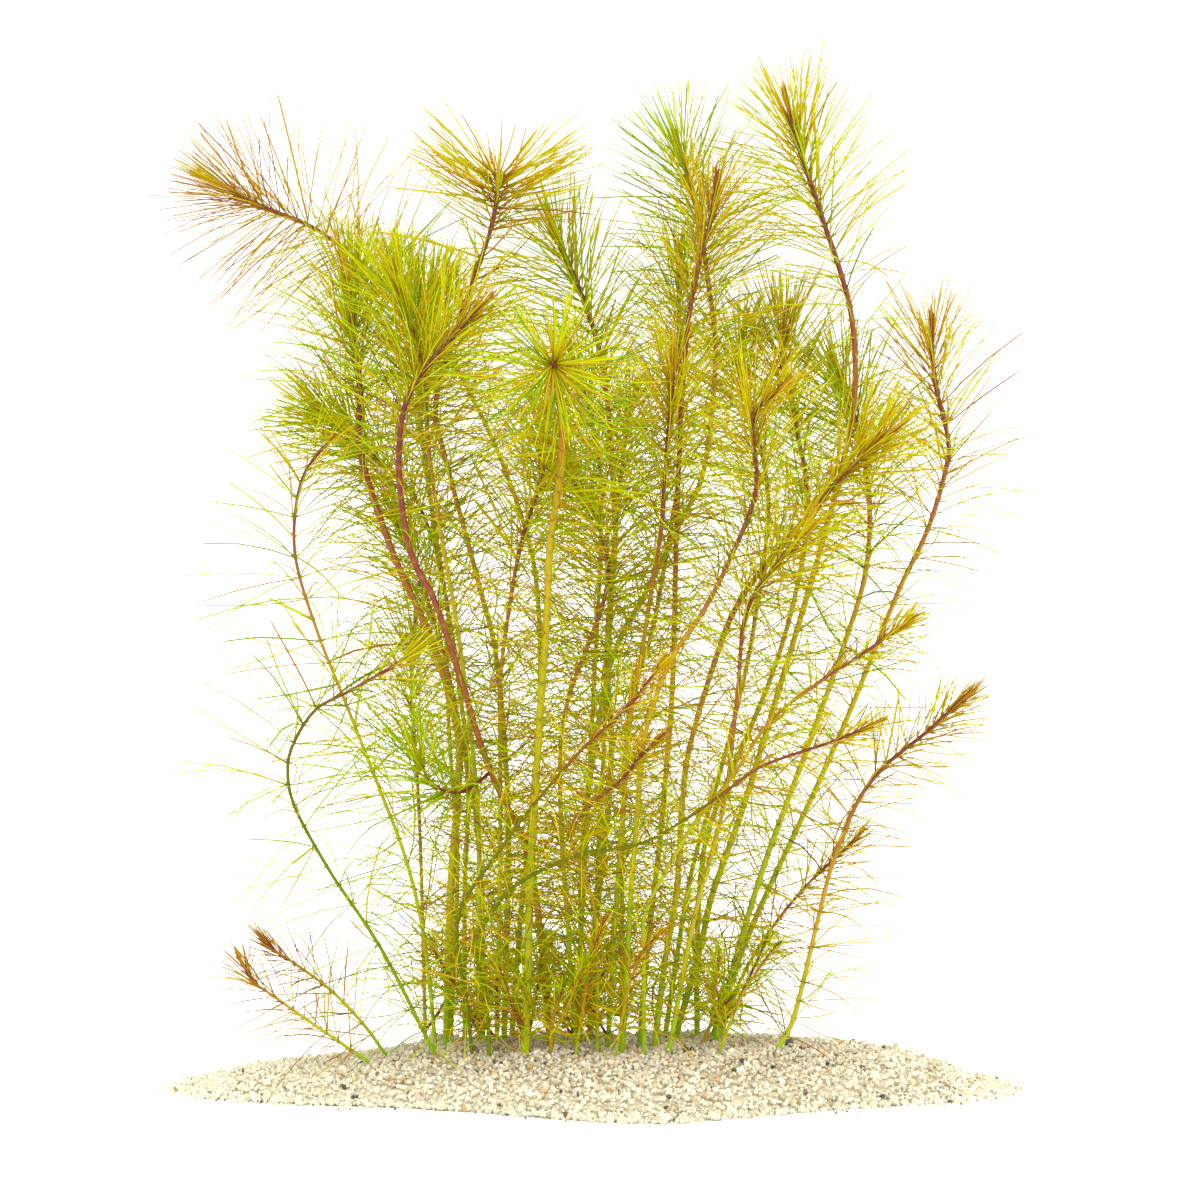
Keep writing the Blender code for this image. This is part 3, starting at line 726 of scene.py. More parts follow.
    def grain_kinds(self, draw: np.random.Generator, spots: np.ndarray) -> np.ndarray:
        """Where each grain's colour lies between cream and dark.

        Args:
            draw: Where chance comes from.
            spots: Rows of x, y, drop and size.

        Returns:
            A number for each grain, with the dark kinds near one.
        """
        count = len(spots)
        kind = draw.uniform(0.0, self.first_dark, count)
        dark = draw.uniform(size=count) < np.where(spots[:, 3] < self.fine_grain, *self.dark_shares)
        kind = np.where(dark, draw.uniform(self.first_dark, 1.0, count), kind)
        # Pale grains: cream grains, plus painted light where the outline and the left end are washed out.
        pale = (draw.uniform(size=count) < self.paleness_and_painted_light(spots[:, 0], spots[:, 1])) & ~dark
        return np.where(pale, draw.uniform(*self.pale_kinds, count), kind)

    def grains_on_map(self, points: np.ndarray) -> np.ndarray:
        """Gives each grain a disc of its own on the map.

        Args:
            points: The corners of each grain about its middle.

        Returns:
            Where the corners lie on the map.
        """
        side = math.ceil(math.sqrt(len(points) + 1))
        around = np.arctan2(points[:, :, 1], points[:, :, 0])
        tilt = np.arccos(np.clip(unit(points)[:, :, 2], -1, 1)) / math.pi
        cell = np.stack(np.divmod(np.arange(len(points)), side), axis=1)[:, None]
        disc = 0.5 + self.disc_radius * tilt[..., None] * np.stack((np.cos(around), np.sin(around)), axis=2)
        return (cell + disc) / side

    def add_grains(self, mesh: PieceMesh, draw: np.random.Generator, spots: np.ndarray) -> None:
        """Adds one turned and scaled grain at each spot.

        Args:
            mesh: The piece's mesh.
            draw: Where chance comes from.
            spots: Rows of x, y, drop and size.
        """
        forms, faces = self.grain_forms(draw)
        count = len(spots)
        picked = draw.integers(0, len(forms), count)
        stretch = draw.uniform(*self.stretch, (count, 3))
        points = forms[picked] * stretch[:, None] * spots[:, 3, None, None]
        points = np.einsum("nij,nkj->nki", self.grain_turns(draw, count), points)
        level = self.surface(spots[:, 0], spots[:, 1]) + spots[:, 2]
        thinning = (self.thin_reach - self.reach(spots[:, 0], spots[:, 1])) / self.thin_width
        level = level * np.clip(thinning, 0.0, 1.0) + draw.normal(0.0, self.unevenness, count)
        low = points[:, :, 2].min(axis=1)
        level = np.maximum(level, self.off_floor - low)
        centres = np.stack((spots[:, 0], spots[:, 1], level), axis=1)
        kind = self.grain_kinds(draw, spots)
        own_faces = faces[picked]
        corners = np.take_along_axis(self.grains_on_map(points)[:, None], own_faces[..., None], axis=2)
        start = np.arange(count)[:, None, None] * self.grain_corners
        mesh.add(
            (points + centres[:, None]).reshape(-1, 3), (own_faces + start).reshape(-1, 3),
            corners.reshape(-1, 3, 2), 0, lot=np.repeat(kind, self.grain_corners))

    def add_core(self, mesh: PieceMesh) -> None:
        """Adds the finer gravel bed that fills the mound under the grains; its darker tan paints the shade in
        their gaps.
        """
        rings = [np.array(((0.0, 0.0),))]
        angle = np.arange(self.core_spokes) * 2 * math.pi / self.core_spokes
        side = np.copysign(self.closing(np.cos(angle)), np.sin(angle))
        for ring in range(1, self.core_rings + 1):
            reach = (ring / self.core_rings) ** self.core_crowding * self.core_reach
            x = self.half_length * reach * np.cos(angle)
            rings.append(np.stack((x, self.depth(x, side) * reach * side), axis=1))
        ground = np.concatenate(rings)
        reach = self.reach(ground[:, 0], ground[:, 1])
        slope = np.clip((self.core_reach - reach) / self.core_slope, 0.0, 1.0)
        height = (self.surface(ground[:, 0], ground[:, 1]) - self.core_depth) * slope
        top = np.column_stack((ground, np.maximum(height, self.core_least)))
        floor = np.column_stack((rings[-1], np.zeros(self.core_spokes)))
        spokes = np.arange(self.core_spokes)
        after = (spokes + 1) % self.core_spokes
        triangles = [np.stack((0 * spokes, 1 + spokes, 1 + after), axis=1)]
        for ring in range(self.core_rings):
            inner = 1 + ring * self.core_spokes
            outer = inner + self.core_spokes
            triangles.append(np.stack((inner + spokes, outer + spokes, outer + after), axis=1))
            triangles.append(np.stack((inner + spokes, outer + after, inner + after), axis=1))
        last = 1 + self.core_rings * self.core_spokes
        triangles.append(np.stack((last + 0 * spokes[1:-1], last + spokes[2:], last + spokes[1:-1]), axis=1))
        points = np.concatenate((top, floor))
        flat = 0.5 + points[:, :2] / (self.core_width * self.half_length)
        triangles = np.concatenate(triangles)
        # Painted shade: the core's darker tan stands for the shade in the gaps between the grains.
        kind = np.interp(self.paleness_and_painted_light(points[:, 0], points[:, 1]), (0.0, 1.0), self.core_kinds_and_gap_shade)
        mesh.add(points, triangles, flat[triangles] * self.core_on_map, 0, lot=kind)

    def build(self, material: bpy.types.Material) -> None:
        """Builds the gravel and lets it stand for its solid.

        Args:
            material: The gravel's material.
        """
        draw = np.random.default_rng(self.seed)
        mesh = PieceMesh()
        self.add_grains(mesh, draw, np.concatenate((self.spots(draw), self.loose_spots(draw))))
        self.add_core(mesh)
        piece = mesh.to_object("gravel", [material], smooth=False)
        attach(piece, BODY)
        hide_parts("gravel_bed")
        LOG.info("gravel: %d triangles", len(piece.data.polygons))


class Tone(Enum):
    """The three colourings of the stems, by the name of their material slot."""

    GREEN = "green_plant"
    GOLD = "golden_plant"
    RUST = "red_plant"


class Crown(Enum):
    """How the leaves at a stem's tip open."""

    PLUME = "plume"
    THICKET = "thicket"
    BRUSH = "brush"
    UMBRELLA = "umbrella"
    STAR = "star"
    FAN = "fan"
    TWIG = "twig"
    SPINDLE = "spindle"
    BOW = "bow"
    SPROUT = "sprout"


@dataclass(frozen=True)
class LeafHabit:
    """How leaves stand at distances below a stem's tip."""

    below_tip: tuple = (0.0, 3.0, 7.0, 12.0, 20.0, 30.0, 45.0, 70.0, 120.0, 200.0)
    length: tuple = (15.0, 21.0, 26.0, 28.5, 30.0, 30.5, 30.0, 27.5, 24.0, 20.0)
    opening: tuple = (17.0, 25.0, 33.0, 41.0, 50.0, 57.0, 64.0, 70.0, 75.0, 76.0)
    opening_spread: tuple = (7.0, 8.0, 9.0, 10.0, 10.0, 10.0, 11.0, 14.0, 19.0, 23.0)
    droop: tuple = (0.0, 0.05, 0.10, 0.14, 0.18, 0.22, 0.26, 0.24, 0.16, 0.10)
    wander: tuple = (0.05, 0.07, 0.09, 0.11, 0.13, 0.15, 0.19, 0.25, 0.34, 0.40)
    whorl_step: tuple = (1.3, 1.6, 2.0, 2.4, 2.9, 3.4, 4.0, 4.8, 5.6, 5.8)
    fullness: tuple = (0.70, 0.75, 0.90, 1.00, 1.00, 0.95, 0.72, 0.46, 0.64, 0.78)
    shade: tuple = (0.74, 0.64, 0.50, 0.41, 0.35, 0.32, 0.30, 0.29, 0.27, 0.24)
    end_shade: tuple = (0.42, 0.38, 0.35, 0.32, 0.29, 0.28, 0.28, 0.29, 0.31, 0.27)
    shade_spread: tuple = (0.07, 0.09, 0.11, 0.12, 0.13, 0.13, 0.13, 0.14, 0.16, 0.16)
    width: tuple = (0.28, 0.30, 0.34, 0.37, 0.40, 0.40, 0.39, 0.38, 0.39, 0.39)
    bud_leaves: int = 26
    bud_length: float = 10.0
    bud_opening: float = 3.2
    bud_shade: float = 0.86
    bud_width: float = 0.36
    crown_height: float = 8.0
    lobes: float = 0.0
    lobe_axis: float = 1.07

    def read(self, trait: str, below_tip: np.ndarray) -> np.ndarray:
        """A trait's value at distances below the tip."""
        return np.interp(below_tip, self.below_tip, getattr(self, trait))


HABITS = {
    Crown.PLUME: LeafHabit(),
    Crown.THICKET: LeafHabit(
        opening_spread=(10.0, 12.0, 14.0, 16.0, 17.0, 17.0, 17.0, 18.0, 19.0, 23.0),
        wander=(0.08, 0.12, 0.16, 0.20, 0.24, 0.26, 0.26, 0.28, 0.34, 0.40),
        whorl_step=(1.2, 1.4, 1.7, 2.0, 2.4, 2.8, 3.4, 4.8, 5.8, 5.8),
        fullness=(0.85, 0.95, 1.00, 1.00, 1.00, 0.95, 0.60, 0.22, 0.22, 0.42),
        width=(0.34, 0.38, 0.42, 0.45, 0.46, 0.45, 0.42, 0.38, 0.37, 0.38),
        shade=(0.66, 0.56, 0.44, 0.37, 0.33, 0.31, 0.31, 0.31, 0.31, 0.28),
        shade_spread=(0.10, 0.12, 0.15, 0.17, 0.18, 0.18, 0.18, 0.17, 0.17, 0.18),
        bud_opening=5.0, bud_length=9.0, crown_height=6.0),
    Crown.BRUSH: LeafHabit(
        length=(8.0, 11.0, 14.0, 17.0, 20.0, 22.0, 23.0, 22.0, 18.0, 15.0),
        opening=(12.0, 19.0, 28.0, 38.0, 50.0, 58.0, 66.0, 70.0, 75.0, 76.0),
        whorl_step=(1.6, 2.0, 2.6, 3.2, 3.8, 4.2, 4.6, 5.0, 5.4, 5.4),
        shade=(0.72, 0.66, 0.58, 0.52, 0.48, 0.44, 0.40, 0.38, 0.38, 0.36),
        end_shade=(0.50, 0.46, 0.42, 0.40, 0.38, 0.38, 0.38, 0.38, 0.38, 0.36),
        fullness=(0.75, 0.75, 0.75, 0.75, 0.72, 0.70, 0.66, 0.60, 0.56, 0.56),
        width=(0.30, 0.31, 0.33, 0.35, 0.36, 0.36, 0.36, 0.35, 0.34, 0.34),
        bud_leaves=18, bud_length=7.0, bud_opening=5.0, crown_height=5.0),
    Crown.UMBRELLA: LeafHabit(
        length=(26.0, 28.0, 29.0, 28.0, 26.0, 26.0, 28.0, 26.0, 24.0, 20.0),
        opening=(57.0, 62.0, 66.0, 68.0, 70.0, 66.0, 66.0, 70.0, 75.0, 76.0),
        opening_spread=(9.0, 8.0, 8.0, 9.0, 11.0, 11.0, 11.0, 14.0, 19.0, 23.0),
        droop=(-0.08, -0.05, 0.0, 0.05, 0.14, 0.22, 0.26, 0.24, 0.16, 0.10),
        wander=(0.22, 0.22, 0.22, 0.22, 0.20, 0.18, 0.19, 0.25, 0.34, 0.40),
        fullness=(1.0, 1.0, 1.0, 0.80, 0.30, 0.32, 0.50, 0.50, 0.64, 0.76),
        whorl_step=(0.9, 1.1, 1.4, 2.0, 3.0, 3.4, 4.0, 4.7, 5.3, 5.4),
        shade=(0.64, 0.61, 0.58, 0.54, 0.46, 0.34, 0.28, 0.31, 0.38, 0.38),
        end_shade=(0.42, 0.43, 0.44, 0.41, 0.35, 0.27, 0.24, 0.31, 0.42, 0.42),
        width=(0.38, 0.42, 0.44, 0.42, 0.40, 0.40, 0.39, 0.37, 0.35, 0.34),
        bud_leaves=8, bud_length=11.0, bud_opening=46.0, bud_shade=0.74, crown_height=3.0, lobes=0.36),
    Crown.STAR: LeafHabit(
        length=(10.0, 22.0, 25.0, 27.0, 27.0, 27.0, 26.0, 25.0, 21.0, 16.0),
        opening=(34.0, 52.0, 66.0, 74.0, 78.0, 76.0, 72.0, 70.0, 75.0, 76.0),
        opening_spread=(10.0, 10.0, 9.0, 9.0, 9.0, 9.0, 10.0, 14.0, 19.0, 23.0),
        whorl_step=(1.0, 1.3, 1.8, 2.4, 3.0, 3.6, 4.2, 4.7, 5.3, 5.4),
        shade=(0.50, 0.36, 0.28, 0.26, 0.27, 0.28, 0.29, 0.30, 0.31, 0.28),
        end_shade=(0.36, 0.28, 0.24, 0.22, 0.23, 0.24, 0.26, 0.31, 0.37, 0.34),
        shade_spread=(0.14, 0.16, 0.16, 0.16, 0.15, 0.14, 0.14, 0.14, 0.17, 0.18),
        width=(0.38, 0.42, 0.45, 0.44, 0.43, 0.42, 0.40, 0.38, 0.39, 0.39),
        fullness=(1.0, 1.0, 1.0, 1.0, 0.9, 0.85, 0.76, 0.50, 0.64, 0.76),
        bud_leaves=10, bud_length=3.0, bud_opening=30.0, bud_shade=0.95, crown_height=0.5),
    Crown.FAN: LeafHabit(
        length=(19.0, 24.0, 27.0, 28.5, 30.0, 30.0, 29.0, 27.0, 22.0, 17.5),
        opening=(16.0, 25.0, 36.0, 48.0, 60.0, 66.0, 68.0, 70.0, 75.0, 76.0),
        shade=(0.40, 0.28, 0.23, 0.23, 0.25, 0.27, 0.28, 0.30, 0.31, 0.28),
        end_shade=(0.26, 0.22, 0.20, 0.20, 0.22, 0.24, 0.26, 0.31, 0.37, 0.34),
        bud_leaves=18, bud_length=8.0, bud_opening=6.0, bud_shade=0.9, crown_height=5.0),
    Crown.TWIG: LeafHabit(
        length=(26.0, 30.0, 33.0, 34.0, 33.0, 30.0, 26.0, 22.0, 18.0, 18.0),
        opening=(22.0, 36.0, 50.0, 60.0, 68.0, 72.0, 74.0, 74.0, 75.0, 76.0),
        opening_spread=(14.0, 16.0, 17.0, 17.0, 16.0, 16.0, 16.0, 16.0, 19.0, 23.0),
        wander=(0.12, 0.16, 0.20, 0.24, 0.26, 0.26, 0.26, 0.28, 0.34, 0.40),
        whorl_step=(1.6, 2.0, 2.5, 3.0, 3.6, 4.2, 4.6, 4.8, 5.6, 5.8),
        shade=(0.24, 0.18, 0.14, 0.13, 0.14, 0.18, 0.22, 0.24, 0.26, 0.26),
        end_shade=(0.16, 0.12, 0.10, 0.10, 0.12, 0.16, 0.20, 0.24, 0.28, 0.28),
        shade_spread=(0.10,) * 10,
        width=(0.42, 0.44, 0.46, 0.46, 0.46, 0.44, 0.42, 0.40, 0.38, 0.38),
        bud_leaves=16, bud_length=17.0, bud_opening=12.0, bud_shade=0.36, crown_height=3.0),
    Crown.SPINDLE: LeafHabit(
        length=(16.0, 22.0, 27.0, 30.0, 33.0, 34.0, 33.0, 30.0, 24.0, 20.0),
        opening=(14.0, 24.0, 38.0, 52.0, 63.0, 70.0, 75.0, 78.0, 78.0, 76.0),
        opening_spread=(8.0, 10.0, 12.0, 12.0, 12.0, 12.0, 12.0, 14.0, 19.0, 23.0),
        shade=(0.62, 0.60, 0.56, 0.50, 0.44, 0.38, 0.34, 0.30, 0.31, 0.28),
        end_shade=(0.64, 0.66, 0.66, 0.62, 0.54, 0.44, 0.35, 0.33, 0.37, 0.34),
        fullness=(0.80, 0.90, 1.00, 1.00, 1.00, 1.00, 0.95, 0.70, 0.60, 0.60),
        width=(0.26, 0.27, 0.29, 0.31, 0.33, 0.34, 0.36, 0.37, 0.36, 0.36),
        bud_leaves=46, bud_length=18.0, bud_opening=8.0, bud_shade=0.60, bud_width=0.22, crown_height=9.0),
    Crown.BOW: LeafHabit(
        length=(9.0, 14.0, 20.0, 26.0, 31.0, 33.0, 33.0, 32.0, 29.0, 24.0),
        opening=(14.0, 22.0, 34.0, 48.0, 62.0, 70.0, 76.0, 80.0, 80.0, 78.0),
        whorl_step=(2.2, 2.8, 3.6, 4.4, 5.2, 5.8, 6.2, 6.6, 7.0, 7.0),
        droop=(0.0, 0.05, 0.10, 0.16, 0.22, 0.28, 0.32, 0.30, 0.22, 0.16),
        shade=(0.62, 0.54, 0.44, 0.36, 0.31, 0.28, 0.26, 0.25, 0.25, 0.25),
        fullness=(0.60, 0.60, 0.58, 0.58, 0.62, 0.68, 0.72, 0.72, 0.66, 0.60),
        width=(0.34, 0.38, 0.42, 0.46, 0.50, 0.52, 0.52, 0.50, 0.46, 0.42),
        bud_leaves=9, bud_length=7.0, bud_opening=4.0, crown_height=4.0),
    Crown.SPROUT: LeafHabit(
        length=(5.0, 7.0, 9.0, 11.0, 12.0, 12.5, 12.5, 12.5, 12.5, 12.5),
        opening=(14.0, 26.0, 40.0, 50.0, 58.0, 62.0, 64.0, 66.0, 66.0, 66.0),
        opening_spread=(8.0, 14.0, 18.0, 20.0, 22.0, 22.0, 22.0, 22.0, 22.0, 22.0),
        wander=(0.15, 0.2, 0.3, 0.4, 0.5, 0.5, 0.5, 0.5, 0.5, 0.5),
        whorl_step=(1.3, 1.8, 2.3, 2.7, 3.0, 3.2, 3.4, 3.4, 3.4, 3.4),
        shade=(0.34,) * 10,
        end_shade=(0.34, 0.34, 0.35, 0.36, 0.38, 0.38, 0.38, 0.38, 0.38, 0.38),
        shade_spread=(0.12,) * 10,
        fullness=(0.55, 0.45, 0.38, 0.32, 0.28, 0.28, 0.28, 0.28, 0.28, 0.28),
        width=(0.30, 0.33, 0.35, 0.35, 0.34, 0.34, 0.34, 0.34, 0.34, 0.34),
        bud_leaves=6, bud_length=4.0, bud_opening=14.0, bud_shade=0.40, crown_height=0.5),
}
SHADE_BY_TONE = {Tone.GREEN: -0.07, Tone.GOLD: 0.02, Tone.RUST: 0.04}
FLUSH_BY_TONE = {Tone.GREEN: 45.0, Tone.GOLD: 60.0, Tone.RUST: 110.0}


@dataclass(frozen=True)
class LeafChance:
    """How far the leaves of every stem stray from their habit."""

    place: float = 0.15
    turn: float = 0.15
    roll: float = 0.5
    length: float = 0.1
    short_share: float = 0.07
    short_lengths: tuple = (0.4, 0.8)
    widths: tuple = (0.7, 1.2)
    broad_share: float = 0.012
    broad_width: float = 1.7
    droops: tuple = (0.4, 1.5)
    rusty_share: float = 0.13
    rusty_shade: float = 0.24
    rusty_below: float = 14.0
    least_opening: float = 1.0
    leaf_root: float = 0.6
    bud_root: float = 0.3
    bud_reach: float = 3.5
    bud_openings: tuple = (0.2, 1.4)
    bud_lengths: tuple = (0.6, 1.15)
    bud_wander: float = 0.04
    bud_fade: float = 0.22


@dataclass(frozen=True)
class MapPlan:
    """The layout of a stem's map: strips for its tubes, and above them a cell for each blade."""

    tubes_top: float = 0.15
    tube_fill: float = 0.95
    tube_run: tuple = (0.01, 0.97)
    tube_ends: tuple = (0.001, 0.985)
    blades_bottom: float = 0.16
    columns: int = 8
    blade_start: float = 0.04
    blade_run: float = 0.9
    blade_tip: float = 0.98
    keel_dip: float = 0.03
    across: tuple = (0.1, 0.9, 0.5)

    def strip(self, index: int, count: int) -> tuple[float, float]:
        """The lowest and highest place of one tube's strip among the strips of all."""
        return self.tubes_top * index / count, self.tubes_top * (index + self.tube_fill) / count

    def tube(self, count: int, sides: int, strip: tuple) -> np.ndarray:
        """Where the corners of a tube's triangles lie.

        Args:
            count: How many rings the tube has.
            sides: How many sides it has.
            strip: The lowest and highest place of its strip.

        Returns:
            A place for each corner of its walls, its cone and its base.
        """
        run = np.linspace(*self.tube_run, count)
        lane = (strip[1] - strip[0]) / sides
        lanes = strip[0] + lane * np.arange(sides)

        def faces(*corners: tuple) -> np.ndarray:
            """Faces, one to a lane, from each corner's place along the run and share of the lane."""
            places = [np.broadcast_arrays(along, lanes + lane * share) for along, share in corners]
            return np.stack([np.stack(place, axis=-1) for place in places], axis=-2)

        low, high = run[:-1, None], run[1:, None]
        walls = (faces((low, 0), (low, 1), (high, 1)), faces((low, 0), (high, 1), (high, 0)))
        foot, tip = self.tube_ends
        cone = faces((run[-1], 0), (run[-1], 1), (tip, 0.5))
        base = faces((run[0], 1), (run[0], 0), (foot, 0.5))
        return np.concatenate((np.stack(walls, axis=2).reshape(-1, 3, 2), cone, base))

    def blades(self, rings: tuple, cells: tuple, count: int) -> np.ndarray:
        """Where the points of blades lie.

        Args:
            rings: How far along a blade each of its rings is.
            cells: The number of the first cell, and of all cells.
            count: How many blades there are.

        Returns:
            A place for each point of each blade.
        """
        run = np.repeat(rings, 3) * self.blade_run + self.blade_start
        run[2] -= self.keel_dip
        across = np.append(np.tile(self.across, len(rings)), 0.5)
        on_cell = np.column_stack((np.append(run, self.blade_tip), across))
        first, total = cells
        rows = math.ceil(total / self.columns)
        height = 1.0 - self.blades_bottom
        line, column = np.divmod(np.arange(first, first + count), self.columns)
        corner = np.stack((column / self.columns, self.blades_bottom + height * line / rows), axis=1)
        return corner[:, None] + on_cell[None] * np.array((1.0 / self.columns, height / rows))


CHANCE = LeafChance()
MAP_PLAN = MapPlan()


@dataclass
class Shoot:
    """One leafy line of a stem: the stem itself, its twig or a side shoot low on it."""

    course: Course
    start: float
    bare_foot: float
    girth: float
    vigour: float
    habit: LeafHabit
    first_whorl: float = 1.5
    whorls: np.ndarray = field(init=False)

    def __post_init__(self) -> None:
        """Works out how far along the line its whorls are, close at the tip and wide lower down."""
        places, below_tip = [], self.first_whorl
        while self.course.length - below_tip > self.bare_foot:
            places.append(self.course.length - below_tip)
            below_tip += float(self.habit.read("whorl_step", np.float64(below_tip)))
        self.whorls = np.array(places[::-1])


@dataclass
class Plant:
    """One stem of the clump: its line, its girth and the leaves that it carries."""

    name: str
    girth: float
    foot: tuple
    course: tuple
    tone: Tone
    vigour: float = 1.0
    crown: Crown = Crown.PLUME
    flush: float = 0.0
    warmth: float = 0.0
    twig: tuple = ()
    plumpness: float = 0.82
    breadth: float = 1.0
    dusky: bool = False
    leaves_to_whorl: int = 13
    sprouts: int = 0
    foot_shade: float = 0.05
    lower_leaves: float = 1.0
    lower_start: float = 55.0
    foot_depth: float = 7.0
    bare_foot: float = 4.0
    tip_share: float = 0.74
    tip_cone: float = 1.2
    sides: int = 8
    ring_step: float = 2.6
    least_step: float = 0.3
    joint_swell: float = 1.22
    joint_room: float = 1.5
    joint_clear: float = 1.1
    joint_half: float = 0.55
    joint_flank: float = 0.25
    past_tip: float = 3.0
    tube_hint: tuple = (0.3, 1.0, 0.1)
    leaf_hint: tuple = (0.31, 0.17, 0.93)
    flush_runs: tuple = (0.0, 0.1, 0.5, 1.0)
    flush_shades: tuple = (0.94, 0.88, 0.80, 0.58)
    gold_run: float = 1.3
    gold_start: float = 12.0
    gold_shade: float = 0.42
    olive_run: float = 1.4
    olive_shade: float = 0.28
    rings: tuple = (0.0, 0.26, 0.56, 0.88)
    ring_widths: tuple = (0.8, 1.0, 1.0, 0.8)
    keel: float = 1.15
    waviness: float = 0.9
    tint_run: float = 2.6
    over_gravel: float = 0.5
    lift: float = 0.2
    over_floor: float = 0.3
    twig_girth: float = 0.5
    twig_bare: float = 2.0
    sprout_girth: float = 1.0
    sprout_bare: float = 1.5
    sprout_place: tuple = (1.5, 7.0)
    sprout_length: tuple = (11.0, 34.0)
    sprout_lean: tuple = (0.25, 0.6)
    sprout_knots: tuple = (0.0, 0.35, 0.7, 1.0)
    sprout_bow: float = 1.25
    sprout_rise: float = 0.85
    first_seed: int = 1000

    def tube_stations(self, shoot: Shoot) -> tuple[np.ndarray, np.ndarray]:
        """Where a stem's rings lie, and how near each is to a joint.

        Args:
            shoot: The line that the stem follows.

        Returns:
            Distances along the line, and a share that is one at a joint.
        """
        length, whorls = shoot.course.length, shoot.whorls
        plain = np.arange(shoot.start, length, self.ring_step)
        plain = plain[np.abs(plain[:, None] - whorls[None]).min(axis=1) > self.joint_clear]
        wide = whorls[np.diff(whorls, append=length + self.past_tip) > self.joint_room]
        stations = np.concatenate((plain, whorls, wide - self.joint_half, wide + self.joint_half))
        flanks = np.full(2 * len(wide), self.joint_flank)
        joints = np.concatenate((0.0 * plain, 0.0 * whorls + 1.0, flanks))
        order = np.argsort(stations)
        stations, joints = stations[order], joints[order]
        kept = np.concatenate(((True,), np.diff(stations) > self.least_step))
        return stations[kept], joints[kept]

    def add_tube(self, mesh: PieceMesh, shoot: Shoot, strip: tuple) -> None:
        """Adds a round jointed stem that ends in a point.

        Args:
            mesh: The piece's mesh.
            shoot: The line that the stem follows.
            strip: The lowest and highest place of its strip on the map.
        """
        course = shoot.course
        stations, joints = self.tube_stations(shoot)
        centres, along = course.at(stations)
        share = np.clip(stations / course.length, 0.0, 1.0)
        radius = shoot.girth * self.plumpness / 2 * (1.0 - (1.0 - self.tip_share) * share)
        radius *= 1.0 + (self.joint_swell - 1.0) * joints
        right = np.zeros_like(along)
        carried = unit(np.cross(along[0], self.tube_hint))
        for index, direction in enumerate(along):
            carried = unit(carried - direction * (carried @ direction))
            right[index] = carried
        up = np.cross(along, right)
        spokes = np.arange(self.sides)
        angle = spokes * 2 * math.pi / self.sides
        ring = np.cos(angle)[None, :, None] * right[:, None] + np.sin(angle)[None, :, None] * up[:, None]
        points = centres[:, None] + radius[:, None, None] * ring
        tip, _ = course.at(np.array((course.length + self.tip_cone,)))
        points = np.concatenate((points.reshape(-1, 3), tip, centres[:1]))
        count = len(stations)
        last = (count - 1) * self.sides
        turned = (spokes + 1) % self.sides
        cone = np.stack((last + spokes, last + turned, 0 * spokes + len(points) - 2), axis=1)
        base = np.stack((turned, spokes, 0 * spokes + len(points) - 1), axis=1)
        triangles = np.concatenate((ring_walls(count, self.sides), cone, base))
        shade = self.bark_shade(course.length - stations, course.length)
        mesh.add(
            points, triangles, MAP_PLAN.tube(count, self.sides, strip), 1,
            shade=np.concatenate((np.repeat(shade, self.sides), (shade[-1], shade[0]))),
            along=np.concatenate((np.repeat(joints, self.sides), (0.0, 0.0))),
            lot=np.concatenate((np.tile(spokes / self.sides, count), (0.5, 0.5))))

    def bark_shade(self, below_tip: np.ndarray, length: float) -> np.ndarray:
        """How far the stem's skin has turned from green to red.

        Args:
            below_tip: Distances below the tip.
            length: The stem's length.

        Returns:
            Nought where it is green, up to one where it is dark red.
        """
        flush = self.flush or FLUSH_BY_TONE[self.tone]
        gold = flush * self.gold_run + self.gold_start
        olive = gold * self.olive_run
        places = (*(flush * run for run in self.flush_runs), gold, olive, max(length, olive + 1.0))
        lowest = (self.gold_shade, self.olive_shade + self.foot_shade / 2, self.foot_shade)
        return np.interp(below_tip, places, (*self.flush_shades, *lowest))

    def add_needles(self, mesh: PieceMesh, draw: np.random.Generator, shoot: Shoot, cells: tuple) -> None:
        """Adds the leaves of all whorls, and the tight bud at the tip.

        Args:
            mesh: The piece's mesh.
            draw: Where chance comes from.
            shoot: The line that the leaves stand on.
            cells: The number of the first cell on the map, and of all cells.
        """
        course, whorls, habit = shoot.course, shoot.whorls, shoot.habit
        each, buds = self.leaves_to_whorl, habit.bud_leaves
        place = np.repeat(whorls, each) + draw.normal(0.0, CHANCE.place, len(whorls) * each)
        spin = np.repeat(draw.uniform(0.0, 2 * math.pi, len(whorls)), each)
        turn = spin + np.tile(np.arange(each) * 2 * math.pi / each, len(whorls))
        place = np.append(place, course.length - draw.uniform(0.0, CHANCE.bud_reach, buds))
        turn = np.append(turn, draw.uniform(0.0, 2 * math.pi, buds))
        count = len(place)
        turn = turn + draw.normal(0.0, CHANCE.turn, count)
        turn = turn - habit.lobes * np.sin(2.0 * (turn - habit.lobe_axis))
        in_bud = np.arange(count) >= count - buds
        below = np.maximum(course.length - place, 0.0)
        base, along = course.at(place)
        side = unit(np.cross(along, self.leaf_hint))
        other = np.cross(along, side)
        outward = np.cos(turn)[:, None] * side + np.sin(turn)[:, None] * other
        radius = shoot.girth / 2 * (1.0 - (1.0 - self.tip_share) * np.clip(place / course.length, 0, 1))
        base = base + outward * (radius * np.where(in_bud, CHANCE.bud_root, CHANCE.leaf_root))[:, None]
        opening = habit.read("opening", below) + habit.read("opening_spread", below) * draw.normal(size=count)
        opening = np.where(in_bud, habit.bud_opening * draw.uniform(*CHANCE.bud_openings, count), opening)
        opening = np.radians(np.maximum(opening, CHANCE.least_opening))
        length = habit.read("length", below) * shoot.vigour * draw.normal(1.0, CHANCE.length, count)
